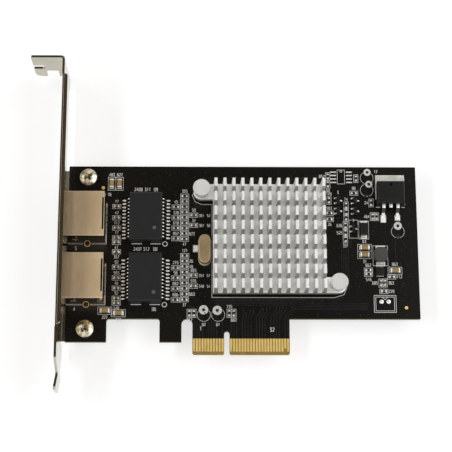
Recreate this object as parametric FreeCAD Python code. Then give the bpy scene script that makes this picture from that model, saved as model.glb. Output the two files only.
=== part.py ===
import FreeCAD, Part
import os
import math

# Dual-port network interface card for a PCI Express x4 slot, with a full-height bracket.
# Frame: origin on the top face of the board, at the middle of the key notch of the edge
# connector and at the bottom of the fingers. +X along the board away from the bracket,
# +Y from the edge connector to the top edge, +Z out of the component side. Millimetres.

# ---- driving dimensions -------------------------------------------------------------
BOARD_T = 1.57                 # thickness of the circuit board
BOARD_X0 = -56.85              # edge of the board next to the bracket
BOARD_X1 = 68.40               # far short edge
BOARD_TOP = 68.90              # height of the board above the bottom of the fingers
SHOULDER_Y = 12.70             # bottom edge of the board beside the tongue
FOOT_Y = 4.40                  # bottom of the foot and of the retention hook
FOOT_X1 = -42.35               # right side of the foot under the ports
HOOK_X0 = -23.66               # left side of the retention hook
HOOK_X1 = -15.94               # right side of the retention hook
TONGUE_X0 = -12.10             # left side of the finger tongue
TONGUE_X1 = 22.10              # right side of the finger tongue
KEY_W = 1.90                   # key notch width
KEY_DEPTH = 8.25               # key notch depth
FINGER_PITCH = 1.00
FINGER_W = 0.70
FINGER_T = 0.05
FINGER_Y0 = 1.08
FINGER_Y1 = 5.65
BEVEL_H = 1.15                 # height of the bevel on the finger edge
BEVEL_D = 0.42                 # depth of the bevel on each face

SHEET = 0.86                   # bracket sheet thickness
PLATE_X0 = -59.01              # outer face of the bracket plate
PLATE_X1 = PLATE_X0 + SHEET    # inner face of the bracket plate
PLATE_ZN = 14.35               # edge of the plate on the component side
PLATE_ZF = -4.07               # edge of the plate on the solder side (18.42 wide)
PLATE_ZB = -7.24               # edge of the plate beside the tab (21.59 wide)
TAB_Y = 105.30                 # underside of the mounting tab
BRACKET_H = 120.02             # height of the bracket
TAB_LEN = 11.43                # tab length from the outer face of the plate
PLATE_Y0 = TAB_Y + SHEET - BRACKET_H
TAB_X0 = PLATE_X0 - TAB_LEN
BEND_IN = 0.30                 # inside radius of the tab bend
LIP_W = 2.00                   # width of the stiffening lip on the component side
LIP_Y0 = 8.30
LIP_Y1 = 99.30
LIP_R = 1.00                   # outside radius of the lip and flange bends
NOTCH_X0 = -66.17              # screw notch, 4.42 wide
NOTCH_X1 = -61.75
NOTCH_Z = 1.50
SLOT_Z0 = 3.30                 # guide slot at the end of the tab
SLOT_Z1 = 6.40
SLOT_X1 = -66.40
FLANGE_Y0 = 4.90               # mounting flange under the board
FLANGE_Y1 = 67.60
SCREW_X = -49.85
SCREW_Y = (64.57, 9.00)
SCREW_D = 2.95
SCREW_HEAD_D = 6.20
SCREW_HEAD_H = 2.10
SCREW_LEN = 3.90

PORT_Y = (48.25, 26.05)        # centre lines of the two ports
PORT_W = 16.44
PORT_H = 11.00
PORT_X0 = -59.30
PORT_X1 = -43.10
SHIELD_T = 0.25
PLUG_W = 11.70                 # width of the plug opening
PLUG_Z0 = 2.20
PLUG_Z1 = 8.90
PLUG_X1 = -46.60               # inner end of the plug opening
LATCH_W = 6.10
LATCH_Z = 9.70
CONTACT_PITCH = 1.02
LEG_X = -49.70
PEG_X = -53.40
PEG_D = 3.20
PEG_DY = 5.72

MAGNETICS_X = -28.85           # centre of the transformer modules
MAGNETICS_Y = (49.15, 27.00)
MAGNETICS_W = 11.75
MAGNETICS_L = 17.55
MAGNETICS_H = 4.90
LEAD_PITCH = 1.27
LEAD_SPAN = 17.35

SINK_X = 15.10                 # centre of the heatsink
SINK_W = 40.00
SINK_Y0 = 21.10
SINK_Y1 = 60.90
SINK_Z0 = 2.50                 # underside of the heatsink base
SINK_BASE = 2.20
SINK_TOP = 12.70
FIN_COUNT = 13
FIN_PITCH = 3.17
FIN_TIP = 1.00
FIN_ROOT = 1.60
FIN_ROWS = 8
FIN_ROW_PITCH = 5.25
FIN_CUT = 1.85
EAR_R = 2.85
PIN_AT = ((-9.00, 58.00), (39.20, 23.95))
PIN_HOLE = 3.30
PIN_D = 3.00
PIN_HEAD_D = 6.15
PIN_HEAD_Z0 = 9.40
PIN_HEAD_Z1 = 10.60
PIN_LOW = -3.90

CHIP_W = 17.00


# ---- helpers ------------------------------------------------------------------------
def box(x0, x1, y0, y1, z0, z1):
    return Part.makeBox(x1 - x0, y1 - y0, z1 - z0, FreeCAD.Vector(x0, y0, z0))


def cyl(x, y, z0, z1, d):
    return Part.makeCylinder(d / 2.0, z1 - z0, FreeCAD.Vector(x, y, z0))


def flats(x, y, z0, z1, d, sides):
    """Upright prism with a regular outline of the given number of sides, d across its corners."""
    ring = []
    for i in range(sides):
        a = 2 * math.pi * (i + 0.5) / sides
        ring.append((x + d / 2 * math.cos(a), y + d / 2 * math.sin(a), z0))
    return prism(ring, (0, 0, z1 - z0))


def prism(points, direction):
    pts = [FreeCAD.Vector(*p) for p in points]
    face = Part.Face(Part.makePolygon(pts + [pts[0]]))
    return face.extrude(FreeCAD.Vector(*direction))


def pill(x, y, width, length, z0, z1):
    """Upright prism with half-round ends, long along Y."""
    r = width / 2
    reach = length / 2 - r
    steps = 9
    ring = []
    for end in (1, -1):
        for i in range(steps + 1):
            a = math.pi * i / steps
            ring.append((x + end * r * math.cos(a), y + end * (reach + r * math.sin(a)), z0))
    return prism(ring, (0, 0, z1 - z0))


def top_edges(body, z):
    """Edges that lie wholly at height z."""
    out = []
    for e in body.Edges:
        if abs(e.BoundBox.ZMin - z) < 1e-6 and abs(e.BoundBox.ZMax - z) < 1e-6:
            out.append(e)
    return out


def fuse_all(items):
    out = items[0]
    if len(items) > 1:
        out = out.multiFuse(items[1:])
    return out.removeSplitter()


def save(name, shape):
    shape.exportStep("parts/" + name + ".step")


def group(items):
    return Part.makeCompound(items)


def strip(path, t, width, y, plumb=False):
    """A flat strip bent in the XZ plane: path of centre points, thickness t, width along Y.

    With plumb, the first end is cut upright, flush with the wall it comes out of.
    """
    left = []
    right = []
    n = len(path)
    for i in range(n):
        if i == 0:
            d = (path[1][0] - path[0][0], path[1][1] - path[0][1])
            k = 1.0
        elif i == n - 1:
            d = (path[-1][0] - path[-2][0], path[-1][1] - path[-2][1])
            k = 1.0
        else:
            a = (path[i][0] - path[i - 1][0], path[i][1] - path[i - 1][1])
            b = (path[i + 1][0] - path[i][0], path[i + 1][1] - path[i][1])
            la = math.hypot(*a)
            lb = math.hypot(*b)
            d = (a[0] / la + b[0] / lb, a[1] / la + b[1] / lb)
            cosine = (a[0] * b[0] + a[1] * b[1]) / (la * lb)
            k = 1.0 / math.sqrt(max(0.2, (1.0 + cosine) / 2.0))
        ld = math.hypot(*d)
        nx = -d[1] / ld
        nz = d[0] / ld
        if plumb and i == 0:
            k = 1.0 / abs(nz)
            nx = 0.0
            nz = math.copysign(1.0, nz)
        h = t / 2.0 * k
        left.append((path[i][0] + nx * h, path[i][1] + nz * h))
        right.append((path[i][0] - nx * h, path[i][1] - nz * h))
    ring = left + right[::-1]
    return prism([(x, y - width / 2.0, z) for x, z in ring], (0, width, 0))


def turn90(shape, cx, cy):
    out = shape.copy()
    out.rotate(FreeCAD.Vector(cx, cy, 0), FreeCAD.Vector(0, 0, 1), 90)
    return out


os.makedirs("parts", exist_ok=True)


# ---- bracket: one folded steel sheet ------------------------------------------------
# Flat plate outline in the YZ plane, with the wide part beside the tab and the tongue.
def plate_outline():
    yt = TAB_Y - BEND_IN
    curve = []
    for i in range(9):
        u = i / 8.0
        s = u * u * (3.0 - 2.0 * u)
        curve.append((102.6 - 4.2 * u, PLATE_ZB + (PLATE_ZF - PLATE_ZB) * s))
    pts = [(yt, PLATE_ZN), (yt, PLATE_ZB)]
    pts += curve
    pts += [(-1.2, PLATE_ZF), (-6.9, 0.75), (-7.6, 1.10)]
    pts += [(PLATE_Y0 + 0.9, 1.10), (PLATE_Y0, 2.00), (PLATE_Y0, 10.20)]
    pts += [(PLATE_Y0 + 0.9, 11.10), (-7.6, 11.10), (-6.9, 11.40), (-3.4, PLATE_ZN)]
    return pts


plate = prism([(PLATE_X0, y, z) for y, z in plate_outline()], (SHEET, 0, 0))
# The tongue below the plate is set inwards and then out again where it hooks the chassis.
tongue_top = -4.0
plate = plate.cut(box(-62, -55, PLATE_Y0 - 1, tongue_top, -5, 15))
joggle = [(0.0, tongue_top + 0.01), (0.0, tongue_top - 0.2), (0.42, -9.0)]
joggle += [(-0.30, PLATE_Y0 + 0.6), (-0.34, PLATE_Y0)]
ring = [(PLATE_X0 + dx, y) for dx, y in joggle]
ring += [(PLATE_X1 + dx, y) for dx, y in joggle[::-1]]
wave = prism([(x, y, -6) for x, y in ring], (0, 0, 22))
outline = prism([(-62, y, z) for y, z in plate_outline()], (8, 0, 0))
tongue = wave.common(outline)

# Windows for the ports.
window = PORT_W / 2 + 0.16
for yc in PORT_Y:
    plate = plate.cut(box(-62, -56, yc - window, yc + window, -0.15, PORT_H + 0.2))

# The solder-side edge is turned in under the board as the mounting flange.
fold_z = -BOARD_T - SHEET + LIP_R
plate = plate.cut(box(-62, -56, FLANGE_Y0 - 0.8, FLANGE_Y1 + 0.8, PLATE_ZF - 1, fold_z))
# The component-side edge is turned in as a stiffening lip, with a relief at its lower end.
plate = plate.cut(box(-62, -56, LIP_Y0 - 1.2, LIP_Y1 + 0.01, PLATE_ZN - LIP_R, PLATE_ZN + 1))


def edge_fold(y0, y1, z_out, sign, reach):
    """Quarter bend from the plate into a strip along X; z_out is the outer face of the strip."""
    zc = z_out - sign * LIP_R
    xc = PLATE_X0 + LIP_R
    start = FreeCAD.Vector(xc, y0, zc)
    along = FreeCAD.Vector(0, 1, 0)
    outer = Part.makeCylinder(LIP_R, y1 - y0, start, along)
    inner = Part.makeCylinder(LIP_R - SHEET, y1 - y0, start, along)
    if sign > 0:
        quarter = box(PLATE_X0 - 1, xc, y0, y1, zc, z_out + 1)
        flat = box(xc, reach, y0, y1, z_out - SHEET, z_out)
    else:
        quarter = box(PLATE_X0 - 1, xc, y0, y1, z_out - 1, zc)
        flat = box(xc, reach, y0, y1, z_out, z_out + SHEET)
    return outer.cut(inner).common(quarter).fuse(flat)


lip = edge_fold(LIP_Y0, LIP_Y1, PLATE_ZN, 1, PLATE_X0 + LIP_W)
corners = []
for e in lip.Edges:
    if abs(e.BoundBox.ZLength - SHEET) < 1e-4 and e.BoundBox.XMin > PLATE_X0 + LIP_W - 0.01:
        corners.append(e)
lip = lip.makeFillet(0.8, corners)
flange_z = -BOARD_T - SHEET
flange = edge_fold(FLANGE_Y0, FLANGE_Y1, flange_z, -1, -56.00)
for sy in SCREW_Y:
    y0 = max(FLANGE_Y0, sy - 4.0)
    y1 = min(FLANGE_Y1, sy + 4.0)
    ear_x1 = SCREW_X + 4.0
    rim = [(-56.01, y0), (ear_x1 - 1.6, y0), (ear_x1, y0 + 1.6), (ear_x1, y1 - 1.6)]
    rim += [(ear_x1 - 1.6, y1), (-56.01, y1)]
    ear = prism([(x, y, flange_z) for x, y in rim], (0, 0, SHEET))
    collar = flats(SCREW_X, sy, -3.75, flange_z + 0.2, 4.40, 16)
    flange = flange.fuse([ear, collar])
for sy in SCREW_Y:
    flange = flange.cut(cyl(SCREW_X, sy, -6, 0, SCREW_D + 0.05))

# Mounting tab, folded outwards, with the screw notch and the guide slot.
tab_bend_x = PLATE_X0 - BEND_IN
tab_bend_y = TAB_Y - BEND_IN
axis = FreeCAD.Vector(0, 0, 1)
width = PLATE_ZN - PLATE_ZB
bend_start = FreeCAD.Vector(tab_bend_x, tab_bend_y, PLATE_ZB)
outer = Part.makeCylinder(BEND_IN + SHEET, width, bend_start, axis)
inner = Part.makeCylinder(BEND_IN, width, bend_start, axis)
quarter = box(tab_bend_x, PLATE_X1 + 1, tab_bend_y, TAB_Y + 2, PLATE_ZB, PLATE_ZN)
tab_bend = outer.cut(inner).common(quarter)
tab_pts = [(tab_bend_x + 0.001, PLATE_ZN), (TAB_X0 + 0.6, PLATE_ZN), (TAB_X0 + 0.18, PLATE_ZN - 0.18)]
tab_pts += [(TAB_X0, PLATE_ZN - 0.6), (TAB_X0, PLATE_ZF + 2.4), (TAB_X0 + 0.7, PLATE_ZF + 0.7)]
tab_pts += [(TAB_X0 + 2.4, PLATE_ZF), (NOTCH_X1 + 0.9, PLATE_ZF), (NOTCH_X1 + 1.5, PLATE_ZB + 1.0)]
tab_pts += [(tab_bend_x + 0.001, PLATE_ZB)]
tab = prism([(x, TAB_Y, z) for x, z in tab_pts], (0, SHEET, 0))
notch = box(NOTCH_X0, NOTCH_X1, TAB_Y - 1, TAB_Y + 2, -9, NOTCH_Z)
notch_edges = [e for e in notch.Edges if e.BoundBox.YLength > 2.9 and e.BoundBox.ZMin > 0]
notch = notch.makeFillet(1.0, notch_edges)
slot = box(TAB_X0 - 1, SLOT_X1, TAB_Y - 1, TAB_Y + 2, SLOT_Z0, SLOT_Z1)
slot_edges = [e for e in slot.Edges if e.BoundBox.YLength > 2.9 and e.BoundBox.XMin > SLOT_X1 - 0.01]
slot = slot.makeFillet(0.9, slot_edges)
tab = tab.cut(notch).cut(slot)
bracket = fuse_all([plate, tongue, lip, flange, tab_bend, tab])
save("bracket", bracket)


# ---- bracket screws -----------------------------------------------------------------
def pan_screw(x, y):
    head = flats(0, 0, 0, SCREW_HEAD_H, SCREW_HEAD_D, 24)
    head = head.makeChamfer(0.95, top_edges(head, SCREW_HEAD_H))
    shaft = flats(0, 0, -SCREW_LEN, 0.1, SCREW_D, 16)
    body = head.fuse(shaft).removeSplitter()
    for ang in (0, 90):
        slant = [(-1.75, -0.36, 2.6), (1.75, -0.36, 2.6), (0.75, -0.36, 0.75), (-0.75, -0.36, 0.75)]
        arm = prism(slant, (0, 0.72, 0))
        arm.rotate(FreeCAD.Vector(0, 0, 0), FreeCAD.Vector(0, 0, 1), ang)
        body = body.cut(arm)
    turned = 28 if y > 30 else 52
    body.rotate(FreeCAD.Vector(0, 0, 0), FreeCAD.Vector(0, 0, 1), turned)
    body.translate(FreeCAD.Vector(x, y, 0))
    return body


save("bracket_screw_upper", pan_screw(SCREW_X, SCREW_Y[0]))
save("bracket_screw_lower", pan_screw(SCREW_X, SCREW_Y[1]))


# ---- circuit board ------------------------------------------------------------------
# Places of the contact tails of a port, in two staggered rows.
def contact_x(i):
    return -45.20 if i % 2 == 0 else -46.10


def contact_y(yc, i):
    return yc + (i - 3.5) * CONTACT_PITCH


# Plated holes of the capacitors and of the two-pin header that this version leaves out.
EMPTY_HOLES = [(50.93, 66.92), (51.43, 62.42), (50.61, 58.30), (61.43, 46.84), (61.36, 42.90)]
EMPTY_HOLES += [(-8.18, 16.00), (-3.34, 15.80), (54.78, 19.03), (57.30, 19.03)]


def board_outline():
    pts = [(BOARD_X0, BOARD_TOP), (BOARD_X0, FOOT_Y), (FOOT_X1, FOOT_Y), (FOOT_X1, SHOULDER_Y)]
    pts += [(HOOK_X0, SHOULDER_Y), (HOOK_X0, FOOT_Y), (HOOK_X1, FOOT_Y), (HOOK_X1, SHOULDER_Y)]
    pts += [(TONGUE_X0, SHOULDER_Y), (TONGUE_X0, 0.5), (TONGUE_X0 + 0.5, 0.0)]
    pts += [(-KEY_W / 2 - 0.4, 0.0), (-KEY_W / 2, 0.4), (-KEY_W / 2, SHOULDER_Y)]
    pts += [(KEY_W / 2, SHOULDER_Y), (KEY_W / 2, 0.4), (KEY_W / 2 + 0.4, 0.0)]
    pts += [(TONGUE_X1 - 0.5, 0.0), (TONGUE_X1, 0.5), (TONGUE_X1, SHOULDER_Y)]
    pts += [(BOARD_X1, SHOULDER_Y), (BOARD_X1, BOARD_TOP)]
    return pts


board = prism([(x, y, -BOARD_T) for x, y in board_outline()], (0, 0, BOARD_T))
# Fill the upper ends of the notch and of the slot, then round them out.
board = board.fuse(box(-KEY_W / 2, KEY_W / 2, KEY_DEPTH - KEY_W / 2, SHOULDER_Y, -BOARD_T, 0))
board = board.cut(cyl(0, KEY_DEPTH - KEY_W / 2, -3, 1, KEY_W))
slot_r = (TONGUE_X0 - HOOK_X1) / 2.0
slot_x = (TONGUE_X0 + HOOK_X1) / 2.0
board = board.fuse(box(HOOK_X1, TONGUE_X0, SHOULDER_Y - slot_r, SHOULDER_Y, -BOARD_T, 0))
board = board.cut(cyl(slot_x, SHOULDER_Y - slot_r, -3, 1, 2 * slot_r))
board = board.removeSplitter()
round_at = [(FOOT_X1, SHOULDER_Y, 0.9), (HOOK_X0, SHOULDER_Y, 0.9), (BOARD_X1, BOARD_TOP, 0.35)]
round_at += [(BOARD_X0, BOARD_TOP, 0.35), (BOARD_X1, SHOULDER_Y, 0.35), (BOARD_X0, FOOT_Y, 0.35)]
for ex, ey, er in round_at:
    edges = []
    for e in board.Edges:
        bb = e.BoundBox
        upright = bb.ZLength > 1.0 and bb.XLength < 1e-3 and bb.YLength < 1e-3
        if upright and abs(bb.XMin - ex) < 1e-3 and abs(bb.YMin - ey) < 1e-3:
            edges.append(e)
    board = board.makeFillet(er, edges)
# Bevelled insertion edge of the fingers, both faces.
for side in (1, -1):
    z_face = 0.0 if side > 0 else -BOARD_T
    wedge = [(-13, -0.01, z_face - side * BEVEL_D), (-13, BEVEL_H, z_face)]
    wedge += [(-13, BEVEL_H, z_face + side * 0.2), (-13, -0.01, z_face + side * 0.2)]
    board = board.cut(prism(wedge, (36, 0, 0)))
holes = []
for sy in SCREW_Y:
    holes.append(cyl(SCREW_X, sy, -3, 1, 3.30))
for px, py in PIN_AT:
    holes.append(flats(px, py, -3, 1, PIN_HOLE, 16))
for yc in PORT_Y:
    for side in (1, -1):
        holes.append(flats(LEG_X, yc + side * 8.25, -3, 1, 1.80, 8))
        holes.append(flats(PEG_X, yc + side * PEG_DY, -3, 1, PEG_D + 0.1, 12))
    for i in range(8):
        holes.append(flats(contact_x(i), contact_y(yc, i), -3, 1, 0.86, 6))
for hx, hy in EMPTY_HOLES:
    holes.append(flats(hx, hy, -3, 1, 0.96, 6))
board = board.cut(Part.makeCompound(holes))
save("circuit_board", board)


# ---- gold edge contacts -------------------------------------------------------------
def finger_row(z0, short_index):
    out = []
    for k in range(32):
        x = -11.5 + k * FINGER_PITCH if k < 11 else 1.5 + (k - 11) * FINGER_PITCH
        y0 = FINGER_Y0
        if k == short_index:
            y0 = FINGER_Y0 + 1.15
        out.append(box(x - FINGER_W / 2, x + FINGER_W / 2, y0, FINGER_Y1, z0, z0 + FINGER_T))
    return out


save("edge_contacts_front", group(finger_row(0.0, 30)))
save("edge_contacts_back", group(finger_row(-BOARD_T - FINGER_T, 0)))


# ---- ports --------------------------------------------------------------------------
def port_shield(yc):
    h = PORT_W / 2.0
    shell = box(PORT_X0, PORT_X1, yc - h, yc + h, 0.0, PORT_H)
    long_edges = [e for e in shell.Edges if e.BoundBox.XLength > 10 and e.BoundBox.ZMin > 5]
    shell = shell.makeFillet(0.45, long_edges)
    t = SHIELD_T
    shell = shell.cut(box(PORT_X0 - 1, PORT_X1 - t, yc - h + t, yc + h - t, -1, PORT_H - t))
    # Top sheet stops short of the rear wall between the two corner ears.
    shell = shell.cut(box(PORT_X1 - 0.85, PORT_X1 - t, yc - 5.8, yc + 5.8, PORT_H - 1, PORT_H + 1))
    shell = shell.cut(box(PORT_X1 - 0.9, PORT_X1 + 1, yc - 5.8, yc + 5.8, PORT_H - 0.2, PORT_H + 1))
    # Lower rear opening for the contact rows.
    shell = shell.cut(box(PORT_X1 - 1, PORT_X1 + 1, yc - 5.2, yc + 5.2, -1, 2.0))
    legs = []
    for side in (1, -1):
        y = yc + side * (h - t / 2.0)
        taper = [(-0.55, 0.5), (0.55, 0.5), (0.55, -2.3), (0.2, -3.1), (-0.2, -3.1), (-0.55, -2.3)]
        legs.append(prism([(LEG_X + a, y - t / 2, b) for a, b in taper], (0, t, 0)))
        # Latch window pressed through the side wall.
        shell = shell.cut(box(-54.6, -52.4, y - 1, y + 1, 5.4, 6.6))
    dimple = flats(-52.5, yc + 5.1, PORT_H - 0.05, PORT_H + 0.12, 0.95, 8)
    return fuse_all([shell] + legs + [dimple])


def port_housing(yc):
    t = SHIELD_T + 0.02
    h = PORT_W / 2.0 - t
    body = box(PORT_X0 + 0.2, PORT_X1 - 0.9, yc - h, yc + h, 0.0, PORT_H - t)
    body = body.cut(box(PORT_X0 - 1, PLUG_X1, yc - PLUG_W / 2, yc + PLUG_W / 2, PLUG_Z0, PLUG_Z1))
    body = body.cut(box(PORT_X0 - 1, -50.0, yc - LATCH_W / 2, yc + LATCH_W / 2, PLUG_Z1 - 0.1, LATCH_Z))
    body = body.cut(box(PORT_X0 - 1, -52.5, yc - 1.65, yc + 1.65, LATCH_Z - 0.1, LATCH_Z + 0.6))
    # Channel for the contact wires at the rear and comb slots in the floor.
    body = body.cut(box(-46.75, PORT_X1 - 0.85, yc - 4.3, yc + 4.3, -0.1, 2.75))
    for i in range(8):
        y = contact_y(yc, i)
        body = body.cut(box(-57.6, -46.7, y - 0.26, y + 0.26, 1.91, PLUG_Z0 + 0.1))
    pegs = []
    for side in (1, -1):
        pegs.append(flats(PEG_X, yc + side * PEG_DY, -2.6, 0.5, PEG_D, 12))
        lamp_y = yc + side * 5.95
        body = body.cut(box(PORT_X0 - 1, -56.4, lamp_y - 1.2, lamp_y + 1.2, 9.25, 10.35))
    return fuse_all([body] + pegs)


def port_contacts(yc):
    out = []
    for i in range(8):
        x = contact_x(i)
        path = [(x, -2.9), (x, 2.02), (-57.0, 2.02), (-56.7, 2.65), (-50.0, 4.10)]
        out.append(strip(path, 0.22, 0.36, contact_y(yc, i)))
    return group(out)


def port_lamps(yc):
    out = []
    for side in (1, -1):
        y = yc + side * 5.95
        out.append(box(PORT_X0 + 0.1, -56.4, y - 1.19, y + 1.19, 9.26, 10.34))
    return group(out)


for name, yc in (("upper", PORT_Y[0]), ("lower", PORT_Y[1])):
    save("port_shield_" + name, port_shield(yc))
    save("port_housing_" + name, port_housing(yc))
    save("port_contacts_" + name, port_contacts(yc))
    save("port_lamps_" + name, port_lamps(yc))


# ---- transformer modules ------------------------------------------------------------
def module_body(yc):
    w = MAGNETICS_W / 2.0
    ln = MAGNETICS_L / 2.0
    body = box(MAGNETICS_X - w, MAGNETICS_X + w, yc - ln, yc + ln, 0.3, MAGNETICS_H)
    body = body.makeChamfer(0.35, top_edges(body, MAGNETICS_H))
    dimple = flats(MAGNETICS_X + 3.3, yc - 4.3, MAGNETICS_H - 0.12, MAGNETICS_H + 1, 1.35, 8)
    return body.cut(dimple)


def module_leads(yc):
    out = []
    w = MAGNETICS_W / 2.0
    knee = [(w, 2.45), (w + 1.40, 0.125), (LEAD_SPAN / 2.0, 0.125)]
    for side in (1, -1):
        path = [(MAGNETICS_X + side * a, b) for a, b in knee]
        for i in range(12):
            out.append(strip(path, 0.25, 0.45, yc - 0.15 + (i - 5.5) * LEAD_PITCH, True))
    return group(out)


for name, yc in (("upper", MAGNETICS_Y[0]), ("lower", MAGNETICS_Y[1])):
    save("transformer_" + name, module_body(yc))
    save("transformer_leads_" + name, module_leads(yc))


# ---- controller, pad and heatsink ---------------------------------------------------
sink_yc = (SINK_Y0 + SINK_Y1) / 2.0
half = CHIP_W / 2.0
chip = box(SINK_X - half, SINK_X + half, sink_yc - half, sink_yc + half, 0.0, 1.2)
mould = box(SINK_X - half + 1, SINK_X + half - 1, sink_yc - half + 1, sink_yc + half - 1, 1.1, 2.2)
chip = fuse_all([chip, mould.makeChamfer(0.3, top_edges(mould, 2.2))])
save("controller_chip", chip)
save("thermal_pad", box(SINK_X - 7, SINK_X + 7, sink_yc - 7, sink_yc + 7, 2.2, SINK_Z0))

sink_x0 = SINK_X - SINK_W / 2.0
sink_x1 = SINK_X + SINK_W / 2.0
base_z1 = SINK_Z0 + SINK_BASE
base = box(sink_x0, sink_x1, SINK_Y0, SINK_Y1, SINK_Z0, base_z1)
ears = []
for (px, py), edge_x, inner_y in ((PIN_AT[0], sink_x0, SINK_Y1), (PIN_AT[1], sink_x1, SINK_Y0)):
    xa = min(px, edge_x)
    xb = max(px, edge_x)
    ears.append(box(xa, xb, py - EAR_R, py + EAR_R, SINK_Z0, base_z1))
    ears.append(cyl(px, py, SINK_Z0, base_z1, 2 * EAR_R))
base = fuse_all([base] + ears)
for px, py in PIN_AT:
    base = base.cut(flats(px, py, 0, 9, PIN_HOLE, 16))
fins = []
for i in range(FIN_COUNT):
    x = SINK_X + (i - (FIN_COUNT - 1) / 2.0) * FIN_PITCH
    for k in range(FIN_ROWS):
        y0 = SINK_Y0 + k * FIN_ROW_PITCH
        y1 = min(y0 + FIN_ROW_PITCH - FIN_CUT, SINK_Y1)
        quad = [(x - FIN_ROOT / 2, y0, base_z1 - 0.05), (x + FIN_ROOT / 2, y0, base_z1 - 0.05)]
        quad += [(x + FIN_TIP / 2, y0, SINK_TOP), (x - FIN_TIP / 2, y0, SINK_TOP)]
        fins.append(prism(quad, (0, y1 - y0, 0)))
heatsink = base.multiFuse(fins)
save("heatsink", heatsink)


def push_pin(px, py):
    head = flats(px, py, PIN_HEAD_Z0, PIN_HEAD_Z1, PIN_HEAD_D, 24)
    head = head.makeChamfer(0.25, top_edges(head, PIN_HEAD_Z1))
    stem = flats(px, py, -BOARD_T, PIN_HEAD_Z0 + 0.1, PIN_D, 12)
    point = [(-0.9, PIN_LOW), (0.9, PIN_LOW), (1.95, PIN_LOW + 2.1), (1.95, -BOARD_T)]
    point += [(-1.95, -BOARD_T), (-1.95, PIN_LOW + 2.1)]
    barb = flats(px, py, PIN_LOW, -BOARD_T, 3.90, 12)
    barb = barb.common(prism([(px + a, py - 3, z) for a, z in point], (0, 6, 0)))
    barb = barb.common(prism([(px - 3, py + a, z) for a, z in point], (6, 0, 0)))
    body = fuse_all([head, stem, barb])
    slit = box(px - 0.3, px + 0.3, py - 3, py + 3, PIN_LOW - 1, 1.0)
    return body.cut(slit)


def push_spring(px, py):
    """Compression spring: a helix in short straight runs with a four-sided wire."""
    turns = 4
    steps = 10
    wire = 0.25
    r = 2.2
    z0 = base_z1 + wire
    z1 = PIN_HEAD_Z0 - wire
    count = turns * steps
    path = []
    for i in range(count + 1):
        a = 2 * math.pi * i / steps
        z = z0 + (z1 - z0) * i / count
        path.append(FreeCAD.Vector(px + r * math.cos(a), py + r * math.sin(a), z))
    ring = []
    for i in range(4):
        a = math.pi / 2 * i
        x = path[0].x + wire * math.cos(a)
        ring.append(FreeCAD.Vector(x, path[0].y, path[0].z + wire * math.sin(a)))
    profile = Part.makePolygon(ring + [ring[0]])
    return Part.makePolygon(path).makePipeShell([profile], True, False, 1)


for name, (px, py) in (("left", PIN_AT[0]), ("right", PIN_AT[1])):
    save("heatsink_pin_" + name, push_pin(px, py))
    save("heatsink_spring_" + name, push_spring(px, py))


# ---- crystal ------------------------------------------------------------------------
CRYSTAL = (-7.85, 37.40)
cx, cy = CRYSTAL
rim = pill(cx, cy, 4.64, 11.10, 0.45, 0.90)
can = pill(cx, cy, 3.90, 10.24, 0.85, 3.90)
can = can.makeChamfer(0.40, top_edges(can, 3.90))
save("crystal_can", fuse_all([rim, can]))
save("crystal_base", box(cx - 2.2, cx + 2.2, cy - 5.7, cy + 5.7, 0.12, 0.45))
feet = [box(cx - 0.5, cx + 0.5, cy - 6.6, cy - 4.2, 0.0, 0.12)]
feet.append(box(cx - 0.5, cx + 0.5, cy + 4.2, cy + 6.6, 0.0, 0.12))
feet.append(box(cx - 3.9, cx - 2.0, cy - 0.2, cy + 1.9, 0.0, 0.12))
save("crystal_terminals", group(feet))


# ---- voltage regulator --------------------------------------------------------------
REG_X = 58.85
body = box(REG_X - 4.95, REG_X + 4.95, 54.20, 62.45, 0.1, 4.50)
body = body.makeChamfer(0.4, top_edges(body, 4.50))
body = body.cut(flats(REG_X, 61.1, 4.3, 5, 1.0, 8))
reg_tab = box(REG_X - 5.2, REG_X + 5.2, 56.5, 65.50, 0.0, 1.27)
save("regulator_body", body.cut(reg_tab))
reg_tab = reg_tab.makeChamfer(0.15, [e for e in top_edges(reg_tab, 1.27) if e.BoundBox.YMin > 65])
reg_leads = []
for side in (-2.54, 2.54):
    path = [(-54.20, 2.6), (-52.9, 2.6), (-51.6, 0.25), (-48.9, 0.25)]
    lead = strip(path, 0.5, 1.15, 0.0)
    lead.rotate(FreeCAD.Vector(0, 0, 0), FreeCAD.Vector(0, 0, 1), -90)
    lead.translate(FreeCAD.Vector(REG_X + side, 0, 0))
    reg_leads.append(lead)
reg_leads.append(box(REG_X - 0.58, REG_X + 0.58, 52.9, 54.2, 2.35, 2.85))
save("regulator_tab", reg_tab)
save("regulator_leads", group(reg_leads))


# ---- power inductor, diode, converter -----------------------------------------------
ix, iy, ih = 54.85, 35.75, 2.35
corner_cut = 0.75
quarter_turn = [(ih - corner_cut, -ih), (ih, -ih + corner_cut)]
octagon = []
for i in range(4):
    octagon += [(ix + a, iy + b, 0.0) for a, b in quarter_turn]
    quarter_turn = [(-b, a) for a, b in quarter_turn]
coil = prism(octagon, (0, 0, 2.80))
coil = coil.makeChamfer(0.25, top_edges(coil, 2.80))
save("power_inductor", coil)
ends = [box(ix - 1.5, ix + 1.5, iy - ih - 0.95, iy - ih, 0.0, 0.7)]
ends.append(box(ix - 1.5, ix + 1.5, iy + ih, iy + ih + 0.95, 0.0, 0.7))
save("power_inductor_terminals", group(ends))
dx, dy = 49.15, 45.30
diode = box(dx - 1.30, dx + 1.30, dy - 2.15, dy + 2.15, 0.1, 2.20)
save("rectifier_diode", diode.makeChamfer(0.2, top_edges(diode, 2.20)))
ends = [box(dx - 1.0, dx + 1.0, dy - 2.85, dy - 2.15, 0.0, 0.9)]
ends.append(box(dx - 1.0, dx + 1.0, dy + 2.15, dy + 2.85, 0.0, 0.9))
save("rectifier_terminals", group(ends))
qx, qy = 54.50, 29.95
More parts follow.
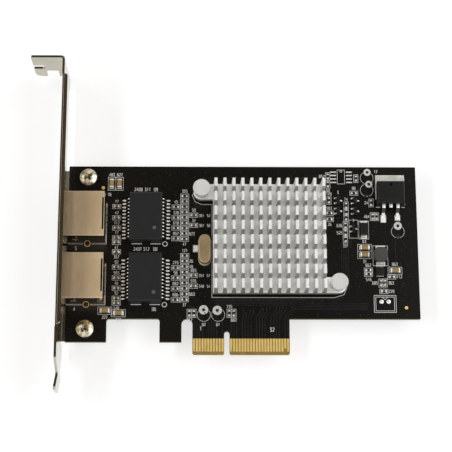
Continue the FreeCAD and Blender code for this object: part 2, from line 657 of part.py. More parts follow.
save("converter_chip", box(qx - 1.5, qx + 1.5, qy - 1.5, qy + 1.5, 0.0, 0.85))


# ---- small transistors, SOT-23 outline ----------------------------------------------
TRANSISTORS = [(40.15, 56.15), (40.10, 52.25), (46.25, 56.10), (46.20, 52.20), (45.50, 45.60)]
bodies = []
leads = []
for tx, ty in TRANSISTORS:
    one = box(tx - 0.65, tx + 0.65, ty - 1.45, ty + 1.45, 0.08, 1.05)
    bodies.append(one.makeChamfer(0.12, top_edges(one, 1.05)))
    for side, yo in ((-1, 0.95), (-1, -0.95), (1, 0.0)):
        path = [(tx + side * 0.65, 0.50), (tx + side * 0.95, 0.07), (tx + side * 1.3, 0.07)]
        leads.append(strip(path, 0.13, 0.42, ty + yo, True))
save("transistors", group(bodies))
save("transistor_leads", group(leads))


# ---- chip capacitors and resistors --------------------------------------------------
def chip_part(x, y, length, width, height, vertical, cap):
    """Body between its two end caps, and the caps."""
    h = length / 2.0
    w = width / 2.0
    mid = box(x - h + cap, x + h - cap, y - w, y + w, 0.0, height)
    ends = [box(x - h, x - h + cap, y - w, y + w, 0.0, height)]
    ends.append(box(x + h - cap, x + h, y - w, y + w, 0.0, height))
    if vertical:
        mid = turn90(mid, x, y)
        ends = [turn90(e, x, y) for e in ends]
    return mid, ends


def chip_set(places, length, width, height, cap):
    mids = []
    ends = []
    for x, y, vertical in places:
        m, e = chip_part(x, y, length, width, height, vertical, cap)
        mids.append(m)
        ends += e
    return mids, ends


LARGE_CAPS = [(-41.40, 62.35, True), (-38.60, 62.35, True), (-43.00, 15.60, False), (-38.20, 14.75, False)]
LARGE_CAPS += [(49.25, 38.65, False), (49.20, 36.05, False), (59.90, 30.27, False)]
COLUMN_A = [(-39.5 + 0.013 * (53.8 - y), y, False) for y in (53.8, 49.6, 45.8, 42.2, 40.5, 37.0)]
COLUMN_A += [(-39.2 + 0.013 * (31.4 - y), y, False) for y in (31.4, 27.45, 23.75, 20.1, 18.4)]
COLUMN_B = [(-18.2, y, False) for y in (53.7, 49.65, 45.85, 41.95, 31.2, 27.5, 23.6, 19.55)]
COLUMN_C = [(-15.12, 57.75 - 2.0 * i, False) for i in range(9)]
COLUMN_C += [(-14.98, 35.65 - 2.0 * i, False) for i in range(9)]
COLUMN_D = [(-11.80, y, False) for y in (50.65, 46.85, 28.45, 24.55)]
NEAR_REGULATOR = [(46.75, 64.55, True), (45.90, 59.00, False), (52.05, 55.40, True), (52.45, 50.25, True)]
NEAR_REGULATOR += [(53.85, 50.25, True), (43.0, 54.3, True), (43.0, 51.9, True), (42.9, 49.9, True)]
NEAR_REGULATOR += [(42.6, 46.9, True), (42.55, 44.2, True), (42.5, 41.8, True), (36.85, 56.30, True)]
NEAR_REGULATOR += [(36.9, 51.5, False), (36.9, 49.2, False), (36.6, 65.3, True), (36.55, 62.3, True)]
NEAR_CONVERTER = [(50.42, 30.45, False), (50.42, 28.95, False), (58.65, 28.02, False), (54.80, 25.80, True)]
NEAR_CONVERTER += [(56.20, 25.80, True), (55.70, 22.75, False)]
BOTTOM_EDGE = [(-13.2, 14.70, True), (-11.65, 14.70, True), (0.90, 14.75, True), (2.45, 14.75, True)]

mids, ends = chip_set(LARGE_CAPS, 3.20, 1.60, 1.15, 0.50)
save("large_capacitors", group(mids))
save("large_capacitor_caps", group(ends))
mids, ends = chip_set(COLUMN_A + COLUMN_D + NEAR_CONVERTER[2:], 1.60, 0.80, 0.75, 0.33)
save("small_capacitors", group(mids))
save("small_capacitor_caps", group(ends))
resistor_places = COLUMN_B + COLUMN_C + NEAR_REGULATOR + NEAR_CONVERTER[:2] + BOTTOM_EDGE
mids, ends = chip_set(resistor_places, 1.60, 0.80, 0.45, 0.30)
save("resistors", group(mids))
save("resistor_caps", group(ends))

# Decoupling capacitors on the solder side, below the controller.
rear = []
rear_caps = []
down = FreeCAD.Vector(0, 0, -BOARD_T - 0.75)
for i in range(4):
    for k in range(2):
        x = SINK_X - 9 + 6 * i
        mid, ends = chip_part(x, sink_yc - 5 + 10 * k, 1.60, 0.80, 0.75, k == 1, 0.33)
        for piece in [mid] + ends:
            piece.translate(down)
        rear.append(mid)
        rear_caps += ends
save("rear_capacitors", group(rear))
save("rear_capacitor_caps", group(rear_caps))
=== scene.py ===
import bpy
import math
import random
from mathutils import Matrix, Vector


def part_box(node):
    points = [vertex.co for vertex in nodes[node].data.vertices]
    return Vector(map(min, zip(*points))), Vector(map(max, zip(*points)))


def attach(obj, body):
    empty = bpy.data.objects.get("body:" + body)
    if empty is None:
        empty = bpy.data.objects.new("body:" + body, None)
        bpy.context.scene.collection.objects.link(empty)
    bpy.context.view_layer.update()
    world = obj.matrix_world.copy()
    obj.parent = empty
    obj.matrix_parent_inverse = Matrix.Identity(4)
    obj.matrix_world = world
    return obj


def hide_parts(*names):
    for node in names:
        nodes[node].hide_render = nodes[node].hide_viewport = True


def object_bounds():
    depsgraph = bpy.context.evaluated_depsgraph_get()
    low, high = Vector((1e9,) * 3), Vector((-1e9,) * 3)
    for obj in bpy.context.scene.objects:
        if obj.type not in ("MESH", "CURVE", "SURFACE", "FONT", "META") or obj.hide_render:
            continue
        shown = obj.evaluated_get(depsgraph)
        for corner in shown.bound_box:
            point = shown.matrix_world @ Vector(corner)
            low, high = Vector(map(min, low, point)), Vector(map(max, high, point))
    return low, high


# Dual-port network interface card: looks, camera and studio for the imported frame.
# Lengths in this file are millimetres, turned into metres where a mesh is made.

MM = 0.001                     # one millimetre, in metres
PER_METRE = 1000               # millimetres in a metre
SIDES = ("upper", "lower")     # the two ports and what belongs to each
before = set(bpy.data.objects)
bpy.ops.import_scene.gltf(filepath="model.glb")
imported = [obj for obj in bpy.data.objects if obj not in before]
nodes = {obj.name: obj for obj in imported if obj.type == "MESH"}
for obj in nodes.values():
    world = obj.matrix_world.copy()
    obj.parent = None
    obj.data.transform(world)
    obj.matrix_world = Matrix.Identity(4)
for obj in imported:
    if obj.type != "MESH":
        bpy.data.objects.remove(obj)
cad_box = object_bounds()
dice = random.Random(7)

TOP = 0.0                      # component face of the board
BACK = -1.57                   # solder face of the board
INK = 0.03                     # thickness of the printed legend
COPPER = 0.04                  # height of bare copper and tinned lands
TRACK = 0.02                   # height of tracks under the lacquer
VIA = 0.03                     # height of the rims of tented vias
MASK_EDGE = 5.75               # lower edge of the lacquer above the gold fingers
FINGERS_LEFT = -14.0           # left of this the lacquer reaches the board's lower edge
PORT_PAINTED_SHADE = (-58.5, -43.6)    # painted shade and highlight: from front to back, where the tops of the ports grow lighter
EDGE_ANGLE = 32                # degrees; sharper edges are bevelled or kept sharp


# ---- mesh building ----
def node_box(name):
    lo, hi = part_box(name)
    return lo * PER_METRE, hi * PER_METRE


def node_centre(name):
    lo, hi = node_box(name)
    return (lo + hi) / 2


def middle(lo, hi):
    """Centre of a box, seen from above."""
    return (lo.x + hi.x) / 2, (lo.y + hi.y) / 2


def grown(lo, hi, gap_x, gap_y):
    """Extent of a box with a gap round it, as x0, x1, y0, y1."""
    return lo.x - gap_x, hi.x + gap_x, lo.y - gap_y, hi.y + gap_y


def around(x, y, a, b):
    """Extent of a rectangle with half sizes a and b round a point."""
    return x - a, x + a, y - b, y + b


def laid(a, b, along_x):
    """Half sizes in x and y of a part with half length a and half width b."""
    return (a, b) if along_x else (b, a)


def solids(name):
    """Boxes of the separate solids of a CAD node, found in whole micrometres from its welded mesh."""
    mesh = nodes[name].data
    keys = [tuple(round(c * 1e6) for c in v.co) for v in mesh.vertices]
    parent = {}

    def root(k):
        while parent.setdefault(k, k) != k:
            parent[k] = parent[parent[k]]
            k = parent[k]
        return k

    for poly in mesh.polygons:
        first = root(keys[poly.vertices[0]])
        for i in poly.vertices[1:]:
            parent[root(keys[i])] = first
    groups = {}
    for k in list(parent):
        groups.setdefault(root(k), []).append(k)
    out = []
    for pts in groups.values():
        lo = Vector(min(p[i] for p in pts) / 1000 for i in range(3))
        hi = Vector(max(p[i] for p in pts) / 1000 for i in range(3))
        out.append((lo, hi))
    return sorted(out, key=lambda b: (round(b[0].x, 2), round(b[0].y, 2)))


def ring(x, y, r, z, steps=24):
    return [(x + r * math.cos(2 * math.pi * i / steps), y + r * math.sin(2 * math.pi * i / steps), z)
            for i in range(steps)]


def rect(x0, x1, y0, y1, r, z, steps=4):
    """Rounded rectangle, anticlockwise."""
    r = max(0.004, min(r, (x1 - x0) / 2 - 0.002, (y1 - y0) / 2 - 0.002))
    out = []
    corners = ((x1 - r, y1 - r), (x0 + r, y1 - r), (x0 + r, y0 + r), (x1 - r, y0 + r))
    for q, (cx, cy) in enumerate(corners):
        for i in range(steps + 1):
            a = math.pi / 2 * (q + i / steps)
            out.append((cx + r * math.cos(a), cy + r * math.sin(a), z))
    return out


def heading(path, i):
    """Direction of a path at one of its points."""
    return (Vector(path[min(i + 1, len(path) - 1)]) - Vector(path[max(i - 1, 0)])).normalized()


class Batch:
    """Closed shapes, in millimetres, that become one piece. Its flat shapes reach from z0 to z1."""

    def __init__(self, z0=TOP, z1=INK):
        self.verts = []
        self.faces = []
        self.flat = (z0, z1)

    def loft(self, rings, ends=True):
        base = len(self.verts)
        n = len(rings[0])
        for one in rings:
            self.verts += one
        for k in range(len(rings) - 1):
            for i in range(n):
                a = base + k * n + i
                b = base + k * n + (i + 1) % n
                self.faces.append((a, b, b + n, a + n))
        if ends:
            last = base + (len(rings) - 1) * n
            self.faces.append(tuple(base + i for i in reversed(range(n))))
            self.faces.append(tuple(last + i for i in range(n)))

    def block(self, x0, x1, y0, y1, profile, r=0.1, steps=3):
        """Stack of rounded rectangles; profile is (inset, height) from bottom to top."""
        self.loft([rect(x0 + i, x1 - i, y0 + i, y1 - i, r - i * 0.6, z, steps) for i, z in profile])

    def lathe(self, x, y, profile, steps=32):
        self.loft([ring(x, y, max(r, 0.003), z, steps) for r, z in profile])

    def layer(self, z0, z1):
        """Heights of a flat shape; shapes that cross never lie in exactly one plane."""
        if z0 is None:
            z0, z1 = self.flat
        more = 0.0013 * (len(self.verts) % 11)
        return (z0, z1 + more) if z1 > TOP else (z0 - more, z1)

    def hoop(self, outer, inner, z0=None, z1=None):
        """Flat closed band between two outlines with the same number of points."""
        z0, z1 = self.layer(z0, z1)
        self.loft([[(p[0], p[1], z) for p in pts]
                   for pts, z in ((inner, z0), (outer, z0), (outer, z1), (inner, z1), (inner, z0))], False)

    def annulus(self, x, y, r0, r1, steps=20, z0=None, z1=None):
        self.hoop(ring(x, y, r1, 0, steps), ring(x, y, r0, 0, steps), z0, z1)

    def box_line(self, x0, x1, y0, y1, w=0.15):
        h = w / 2
        self.hoop([(x0 - h, y0 - h), (x1 + h, y0 - h), (x1 + h, y1 + h), (x0 - h, y1 + h)],
                  [(x0 + h, y0 + h), (x1 - h, y0 + h), (x1 - h, y1 - h), (x0 + h, y1 - h)])

    def line(self, pts, w, z0=None, z1=None):
        """Mitred flat strip along an open path."""
        z0, z1 = self.layer(z0, z1)
        base = len(self.verts)
        for i, p in enumerate(pts):
            a = Vector(p) - Vector(pts[i - 1]) if i else Vector(pts[1]) - Vector(p)
            b = Vector(pts[i + 1]) - Vector(p) if i + 1 < len(pts) else a
            a, b = a.normalized(), b.normalized()
            t = (a + b).normalized()
            k = w / 2 / max(0.4, t.dot(a))
            left = (p[0] - t.y * k, p[1] + t.x * k)
            right = (p[0] + t.y * k, p[1] - t.x * k)
            self.verts += [(*right, z0), (*left, z0), (*left, z1), (*right, z1)]
        last = base + 4 * (len(pts) - 1)
        for i in range(base, last, 4):
            for j in range(4):
                a, b = i + j, i + (j + 1) % 4
                self.faces.append((b, a, a + 4, b + 4))
        self.faces.append((base + 3, base + 2, base + 1, base))
        self.faces.append((last, last + 1, last + 2, last + 3))

    def bent_strip(self, path, t, w, place):
        """Rectangular section along a path in an upright plane; place(u, v, z) gives the point."""
        rings = []
        for i, p in enumerate(path):
            d = heading(path, i)
            n = Vector((-d.y, d.x)) * t / 2
            lo, hi = Vector(p) - n, Vector(p) + n
            rings.append([place(e.x, v, e.y) for e, v in ((lo, -w / 2), (lo, w / 2), (hi, w / 2), (hi, -w / 2))])
        self.loft(rings)

    def wire(self, path, r, sides=8):
        """Round wire along a path in space."""
        rings = []
        for i, p in enumerate(path):
            d = heading(path, i)
            u = d.cross(Vector((0, 0, 1))).normalized()
            v = d.cross(u)
            rings.append([tuple(Vector(p) + r * (math.cos(a) * u + math.sin(a) * v))
                          for a in (2 * math.pi * k / sides for k in range(sides))])
        self.loft(rings)

    def number(self, x, y, text, height=1.0, flip=1):
        """Plain digits drawn with straight strokes, middle at x, y."""
        step = height / 4
        width = 0.42 * height
        gap = 0.70 * height
        x0 = -(len(text) - 1) * gap / 2 - width / 2
        for i, ch in enumerate(text):
            for path in DIGITS[ch]:
                self.line([(x + flip * (x0 + i * gap + u * width), y + (v * step - height / 2)) for u, v in path],
                          height * 0.16)


DIGITS = {
    "0": [[(0.62, 4), (1, 4), (1, 0), (0, 0), (0, 4), (0.42, 4)]],
    "1": [[(0.2, 3.2), (0.6, 4), (0.6, 0)]],
    "2": [[(0, 4), (1, 4), (1, 2.2), (0, 0.2), (1, 0.2)]],
    "3": [[(0, 4), (1, 4), (0.4, 2.2), (1, 1.6), (1, 0), (0, 0)]],
    "4": [[(0.8, 0), (0.8, 4), (0, 1.2), (0.6, 1.2)]],
    "5": [[(1, 4), (0, 4), (0, 2.2), (1, 2.2), (1, 0), (0, 0)]],
    "6": [[(1, 4), (0, 4), (0, 0), (1, 0), (1, 2.2), (0.2, 2.2)]],
    "7": [[(0, 4), (1, 4), (0.3, 0)]],
    "8": [[(0.62, 4), (1, 4), (1, 0), (0, 0), (0, 4), (0.42, 4)], [(0.2, 2), (0.8, 2)]],
    "9": [[(0, 0), (1, 0), (1, 4), (0, 4), (0, 2), (0.8, 2)]],
}


def rounded(path, r, steps=4):
    """The same path with its inner corners turned into arcs."""
    out = [Vector(path[0])]
    for i in range(1, len(path) - 1):
        p = Vector(path[i])
        a = (Vector(path[i - 1]) - p)
        b = (Vector(path[i + 1]) - p)
        cut = min(r, a.length * 0.45, b.length * 0.45)
        a = p + a.normalized() * cut
        b = p + b.normalized() * cut
        for k in range(steps + 1):
            u = k / steps
            out.append((1 - u) ** 2 * a + 2 * u * (1 - u) * p + u * u * b)
    out.append(Vector(path[-1]))
    return out


def give(thing, **settings):
    """Sets attributes of a thing, in the order given, and returns it."""
    for key, value in settings.items():
        setattr(thing, key, value)
    return thing


def add(name, data):
    """Puts a new object into the scene."""
    obj = bpy.data.objects.new(name, data)
    bpy.context.scene.collection.objects.link(obj)
    return obj


def from_batch(name, batch):
    mesh = bpy.data.meshes.new(name)
    mesh.from_pydata([(x * MM, y * MM, z * MM) for x, y, z in batch.verts], [], batch.faces)
    return add(name, mesh)


def smooth_below(mesh, degrees):
    mesh.shade_smooth()
    mesh.set_sharp_from_angle(angle=math.radians(degrees))


def piece(name, batch, finish, slot, replaces=(), smooth=None):
    """A new piece of the card from a batch of shapes."""
    obj = from_batch(name, batch)
    obj.data.materials.append(MAT[finish])
    if smooth:
        smooth_below(obj.data, smooth)
    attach(obj, "root")
    if replaces:
        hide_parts(*replaces)
    return obj


def add_bevel(obj, width, segments):
    give(obj.modifiers.new("weld", "WELD"), merge_threshold=2e-6)
    give(obj.modifiers.new("bevel", "BEVEL"), width=width * MM, segments=segments, limit_method="ANGLE",
         angle_limit=math.radians(EDGE_ANGLE), miter_outer="MITER_ARC")
    give(obj.modifiers.new("even", "WEIGHTED_NORMAL"), weight=100, keep_sharp=False)


LIP_Z = node_box("bracket")[1].z - 1.25      # where the bend of the bracket's lip starts
FIN_TIP = node_box("heatsink")[1].z          # top of the fins


# ---- materials ----
class Nodes:
    """Adds nodes to one tree."""

    def __init__(self, tree):
        self.tree = tree

    def feed(self, socket, value):
        """Joins another node's output to an input, or sets the input's own value."""
        if isinstance(value, bpy.types.NodeSocket):
            self.tree.links.new(value, socket)
        elif socket.type == "RGBA":
            socket.default_value = (*value, 1.0)
        else:
            socket.default_value = value

    def node(self, kind, feeds=None, **settings):
        one = give(self.tree.nodes.new("ShaderNode" + kind), **settings)
        for key, value in (feeds or {}).items():
            self.feed(one.inputs[key], value)
        return one

    def math(self, mode, a, b=0.5):
        return self.node("Math", {0: a, 1: b}, operation=mode).outputs[0]


class Finish(Nodes):
    """A node-based material whose patterns are laid out in millimetres of the object."""

    def __init__(self, name, metallic=0.0, specular=0.5, **sockets):
        self.mat = bpy.data.materials.new(name)
        self.mat.use_nodes = True
        super().__init__(self.mat.node_tree)
        self.bsdf = self.tree.nodes["Principled BSDF"]
        sockets.update(Metallic=metallic, Specular_IOR_Level=specular)
        for key, value in sockets.items():
            self.feed(self.bsdf.inputs[key.replace("_", " ")], value)
        self.coord = self.node("TexCoord").outputs["Object"]

    def place(self, scale):
        return self.node("Mapping", {"Vector": self.coord, "Scale": [PER_METRE * s for s in scale]}).outputs["Vector"]

    def position(self, letter):
        """One coordinate, in millimetres."""
        return self.node("SeparateXYZ", {0: self.place((1, 1, 1))}).outputs[letter]

    def normal(self, letter):
        """One component of the surface normal."""
        return self.node("SeparateXYZ", {0: self.node("NewGeometry").outputs["Normal"]}).outputs[letter]

    def noise(self, scale, detail=3.0, rough=0.5):
        """Cloudy pattern; scale is one number or one for each axis."""
        scale = scale if isinstance(scale, tuple) else (scale, scale, scale)
        return self.node("TexNoise", {"Vector": self.place(scale), "Scale": 1.0, "Detail": detail,
                                      "Roughness": rough}).outputs["Fac"]

    def spread(self, fac, a, b, low=0.3, high=0.7):
        """Maps the range from low to high to the range from a to b; most of a cloudy pattern is in the usual range."""
        return self.node("MapRange", {"Value": fac, "From Min": low, "From Max": high,
                                      "To Min": a, "To Max": b}).outputs["Result"]

    def rise(self, fac, low, high):
        """Grows from 0 at low to 1 at high."""
        return self.spread(fac, 0.0, 1.0, low, high)

    def fall(self, fac, low, high):
        """Shrinks from 1 at low to 0 at high."""
        return self.spread(fac, 1.0, 0.0, low, high)

    def colours(self, fac, *stops):
        ramp = self.node("ValToRGB", {"Fac": fac})
        els = ramp.color_ramp.elements
        for i, (at, rgb) in enumerate(stops):
            el = els[i] if i < 2 else els.new(at)
            el.position = at
            el.color = (*rgb, 1.0)
        return ramp.outputs["Color"]

    def mix(self, fac, a, b):
        return self.node("Mix", {0: fac, 6: a, 7: b}, data_type="RGBA").outputs[2]

    def tint(self, colour, pattern, most, rgb):
        """Lays another colour over a colour, up to the share given by most."""
        return self.mix(self.spread(pattern, 0.0, most), colour, rgb)

    def bump(self, height, strength, distance):
        one = self.node("Bump", {"Height": height, "Strength": strength, "Distance": distance * MM})
        self.feed(self.bsdf.inputs["Normal"], one.outputs["Normal"])

    def done(self, colour, rough):
        self.feed(self.bsdf.inputs["Base Color"], colour)
        self.feed(self.bsdf.inputs["Roughness"], rough)
        return self.mat


def metal(name, light, dark, rough, streaks, spots, bump=0.1, depth=0.02):
    """Plated or bare sheet: rolling streaks along one axis, smudges and fine grain."""
    f = Finish(name, metallic=1.0)
    grain = f.noise(streaks, 6.0, 0.6)
    smudge = f.noise(spots)
    colour = f.colours(smudge, (0.30, dark), (0.70, light))
    colour = f.tint(colour, grain, 0.22, tuple(c * 0.55 for c in dark))
    mixed = f.math("ADD", f.math("MULTIPLY", grain, 0.6), f.math("MULTIPLY", smudge, 0.4))
    f.bump(grain, bump, depth)
    return f.done(colour, f.spread(mixed, rough[0], rough[1]))


def bracket_sheet():
    """Nickel-plated sheet, with painted shade on the outer bend of its long lip: a dark colour that stands for a dark
    reflection.
    """
    f = Finish("bracket_nickel_steel", metallic=1.0)
    grain = f.noise((2.6, 0.05, 2.6), 6.0, 0.6)
    smudge = f.noise(0.09)
    colour = f.colours(smudge, (0.30, (0.46, 0.43, 0.36)), (0.70, (0.56, 0.53, 0.45)))
    colour = f.tint(colour, grain, 0.22, (0.25, 0.24, 0.20))
    # painted shade: faces of the lip's outer bend that look outwards are coloured dark, a painted dark reflection
    outward = f.fall(f.normal("X"), -0.26, -0.08)
    lip = f.math("MULTIPLY", outward, f.rise(f.position("Z"), LIP_Z - 0.15, LIP_Z + 0.15))
    colour = f.mix(lip, colour, (0.10, 0.088, 0.062))
    f.bump(grain, 0.10, 0.006)
    return f.done(colour, f.spread(grain, 0.10, 0.17))


def tinned_sheet():
    """Tinned sheet of the port shields: satin, finely lined top and mirror-like sides; the tops carry painted shade at
    the front, near the bracket, and a painted highlight at the back.
    """
    f = Finish("port_tinned_steel", metallic=1.0)
    lines = f.noise((6.0, 0.25, 3.0), 5.0, 0.6)
    slow = f.noise((0.10, 0.05, 0.10), 2.0, 0.5)
    # painted shade and highlight: the colour runs from dark at the front to light at the back, standing for the
    # bracket's dark reflection
    along = f.rise(f.position("X"), *PORT_PAINTED_SHADE)
    colour = f.colours(along, (0.0, (0.34, 0.252, 0.168)), (0.55, (0.37, 0.272, 0.165)),
                       (0.97, (0.66, 0.500, 0.300)))
    colour = f.tint(colour, lines, 0.30, (0.70, 0.55, 0.37))
    colour = f.mix(f.spread(slow, 0.25, 0.0), colour, (0.30, 0.20, 0.11))
    up = f.rise(f.normal("Z"), 0.55, 0.85)
    satin = f.spread(lines, 0.36, 0.46)
    f.bump(f.math("MULTIPLY", lines, up), 0.8, 0.05)
    return f.done(colour, f.math("ADD", f.math("MULTIPLY", satin, up), 0.06))


def moulded(name, light, dark, rough, grain=6.0, bump=0.25, specular=0.4, **sockets):
    """Moulded plastic or epoxy: fine sparkle grain over slow unevenness."""
    f = Finish(name, specular=specular, **sockets)
    fine = f.noise(grain, 5.0, 0.7)
    slow = f.noise(0.25)
    colour = f.tint(f.colours(slow, (0.3, dark), (0.7, light)), fine, 0.5, tuple(min(1.0, c * 1.35) for c in light))
    f.bump(fine, bump, 0.015)
    return f.done(colour, f.spread(fine, rough[0], rough[1]))


def solder_mask():
    """Black lacquer over copper and glass cloth, with bare laminate on the cut edges."""
    f = Finish("solder_mask_black", specular=0.38)
    cloth = f.noise(2.2, 4.0, 0.6)
    slow = f.noise(0.05, 4.0, 0.55)
    face = f.colours(slow, (0.35, (0.0030, 0.0025, 0.0020)), (0.65, (0.0062, 0.0050, 0.0038)))
    face = f.tint(face, cloth, 0.15, (0.010, 0.0085, 0.0065))
    laminate = f.colours(f.noise((0.6, 0.6, 9.0), 3.0, 0.6),
                         (0.35, (0.250, 0.160, 0.028)), (0.65, (0.400, 0.275, 0.058)))
    upright = f.rise(f.math("ABSOLUTE", f.normal("Z")), 0.96, 0.985)
    above = f.rise(f.position("Y"), MASK_EDGE - 0.02, MASK_EDGE + 0.02)
    left = f.math("LESS_THAN", f.position("X"), FINGERS_LEFT)
    lacquer = f.math("MULTIPLY", upright, f.math("MAXIMUM", above, left))
    colour = f.mix(lacquer, laminate, face)
    f.bump(cloth, 0.12, 0.02)
    return f.done(colour, f.spread(cloth, 0.20, 0.30))


def masked_copper():
    f = Finish("mask_over_copper", specular=0.38)
    slow = f.noise(0.3)
    colour = f.colours(slow, (0.3, (0.0062, 0.0052, 0.0040)), (0.7, (0.0108, 0.0085, 0.0062)))
    return f.done(colour, f.spread(slow, 0.30, 0.45))


def ink():
    """Printed legend: slightly uneven matt white."""
    f = Finish("legend_ink", specular=0.3)
    grain = f.noise(3.0, 5.0, 0.65)
    colour = f.colours(grain, (0.30, (0.62, 0.61, 0.58)), (0.60, (0.86, 0.85, 0.82)))
    f.bump(grain, 0.3, 0.01)
    return f.done(colour, f.spread(grain, 0.50, 0.70))


def aluminium():
    """Extruded aluminium: fine lines along the extrusion, even fin tips, and painted shade on the ends that face −y.
    """
    f = Finish("extruded_aluminium_natural", metallic=0.88)
    lines = f.noise((1.9, 0.06, 0.5), 5.0, 0.7)
    slow = f.noise(0.12)
    colour = f.colours(lines, (0.32, (0.84, 0.835, 0.81)), (0.66, (0.98, 0.98, 0.97)))
    colour = f.tint(colour, slow, 0.10, (0.74, 0.74, 0.73))
    tip = f.rise(f.position("Z"), FIN_TIP - 0.25, FIN_TIP - 0.10)
    colour = f.mix(tip, colour, (0.86, 0.86, 0.85))
    # painted shade: faces that look towards −y are coloured darker
    front_ends_painted_shade = f.fall(f.normal("Y"), -0.85, -0.45)
    colour = f.mix(front_ends_painted_shade, colour, (0.46, 0.46, 0.44))
    f.bump(lines, 0.7, 0.08)
    return f.done(colour, f.spread(lines, 0.46, 0.60))


def gold():
    """Electroplated gold with fine scratches along the insertion direction."""
    f = Finish("contact_gold_plate", metallic=1.0)
    lines = f.noise((9.0, 0.35, 1.0), 5.0, 0.6)
    slow = f.noise(0.35)
    colour = f.colours(slow, (0.3, (0.76, 0.51, 0.14)), (0.7, (0.86, 0.62, 0.22)))
    colour = f.tint(colour, lines, 0.3, (0.96, 0.78, 0.42))
    f.bump(lines, 1.0, 0.05)
    return f.done(colour, f.spread(lines, 0.34, 0.48))


def solder():
    f = Finish("solder_tin", metallic=1.0)
    grain = f.noise(1.8, 5.0, 0.6)
    colour = f.colours(grain, (0.30, (0.66, 0.65, 0.61)), (0.65, (0.88, 0.87, 0.83)))
    f.bump(grain, 0.35, 0.04)
    return f.done(colour, f.spread(grain, 0.34, 0.50))


def lead_tin():
    """Tinned leads with painted light and shade: flat faces coloured bright, upright faces coloured dark."""
    f = Finish("lead_tin", metallic=1.0)
    grain = f.noise(1.5, 4.0, 0.6)
    # painted shade: upright faces get a dark colour, flat faces a bright one
    up = f.rise(f.normal("Z"), 0.60, 0.92)
    bright = f.colours(grain, (0.3, (0.86, 0.85, 0.80)), (0.7, (0.98, 0.97, 0.93)))
    f.bump(grain, 0.2, 0.02)
    return f.done(f.mix(up, (0.11, 0.105, 0.09), bright), f.spread(grain, 0.42, 0.60))


def lamp_plastic():
    f = Finish("lamp_clear_plastic", specular=0.5, Transmission_Weight=0.7, IOR=1.49)
    slow = f.noise(1.0)
    colour = f.colours(slow, (0.3, (0.80, 0.84, 0.80)), (0.7, (0.93, 0.95, 0.92)))
    return f.done(colour, f.spread(slow, 0.25, 0.45))


MAT = {
    "bracket": bracket_sheet(),
    "screw": metal("screw_plated_steel", (0.86, 0.81, 0.66), (0.22, 0.17, 0.09), (0.12, 0.26), 1.3, 0.8, 0.5, 0.10),
    "tab": metal("regulator_tab_tin", (0.80, 0.80, 0.74), (0.62, 0.62, 0.56), (0.36, 0.52), (0.2, 2.4, 1.0), 0.3,
                 0.3, 0.02),
    "mask": solder_mask(),
    "masked_copper": masked_copper(),
    "ink": ink(),
    "gold": gold(),
    "port": tinned_sheet(),
    "port_plastic": moulded("port_black_plastic", (0.012, 0.012, 0.012), (0.008, 0.008, 0.008), (0.35, 0.55)),
    "contact": metal("contact_gold_wire", (0.86, 0.66, 0.28), (0.70, 0.48, 0.16), (0.22, 0.36), (0.3, 3, 3), 0.5),
    "lamp": lamp_plastic(),
    "module": moulded("module_epoxy", (0.0085, 0.0092, 0.0090), (0.0055, 0.0060, 0.0060), (0.36, 0.52), 4.0, 0.4,
                      0.35),
    "dot": moulded("module_dot_paint", (0.11, 0.12, 0.12), (0.08, 0.09, 0.09), (0.5, 0.7)),
    "tin": solder(),
    "lead": lead_tin(),
    "chip": moulded("chip_epoxy", (0.0062, 0.0066, 0.0052), (0.0036, 0.0040, 0.0032), (0.34, 0.50), 5.0, 0.35, 0.26),
    # painted shade: a near-black disc for the ejector mark's dimple
    "pit": moulded("pit_painted_shade", (0.0012, 0.0012, 0.0012), (0.0008, 0.0008, 0.0008), (0.8, 0.95), 5.0, 0.2, 0.04),
    "pad": moulded("thermal_pad_silicone", (0.36, 0.38, 0.42), (0.26, 0.28, 0.31), (0.6, 0.8), 2.0, 0.4),
    "sink": aluminium(),
    "nylon": moulded("pin_white_nylon", (0.84, 0.85, 0.81), (0.78, 0.79, 0.75), (0.38, 0.55), 1.2, 0.15,
                     Subsurface_Weight=0.12, Subsurface_Scale=0.001),
    "spring": metal("spring_steel_wire", (0.62, 0.60, 0.56), (0.46, 0.44, 0.40), (0.22, 0.36), 2, 0.5),
    "crystal": metal("crystal_nickel_can", (0.62, 0.47, 0.27), (0.48, 0.35, 0.19), (0.34, 0.44), (1.2, 0.1, 1.2), 0.2,
                     0.05, 0.01),
    "ferrite": moulded("ferrite_grey", (0.066, 0.066, 0.058), (0.044, 0.044, 0.039), (0.5, 0.75), 3.0, 0.5),
    "tan": moulded("ceramic_tan", (0.40, 0.265, 0.105), (0.31, 0.195, 0.075), (0.40, 0.58), 3.0, 0.2),
    "grey": moulded("ceramic_grey", (0.165, 0.135, 0.098), (0.120, 0.098, 0.072), (0.40, 0.58), 3.0, 0.2),
    "alumina": moulded("resistor_alumina", (0.66, 0.64, 0.60), (0.56, 0.54, 0.50), (0.45, 0.65), 3.0, 0.2),
    "resistor": moulded("resistor_glaze", (0.012, 0.012, 0.013), (0.008, 0.008, 0.009), (0.22, 0.38), 3.0, 0.2),
}


# ---- CAD nodes that stay: material and softened edges ----
def dress(name, finish, bevel=0, segments=2):
    """Gives a CAD node its material and, where bevel isn't 0, edges softened by that width."""
    obj = nodes[name]
    for slot in obj.material_slots:
        slot.material = MAT[finish]
    if bevel:
        add_bevel(obj, bevel, segments)


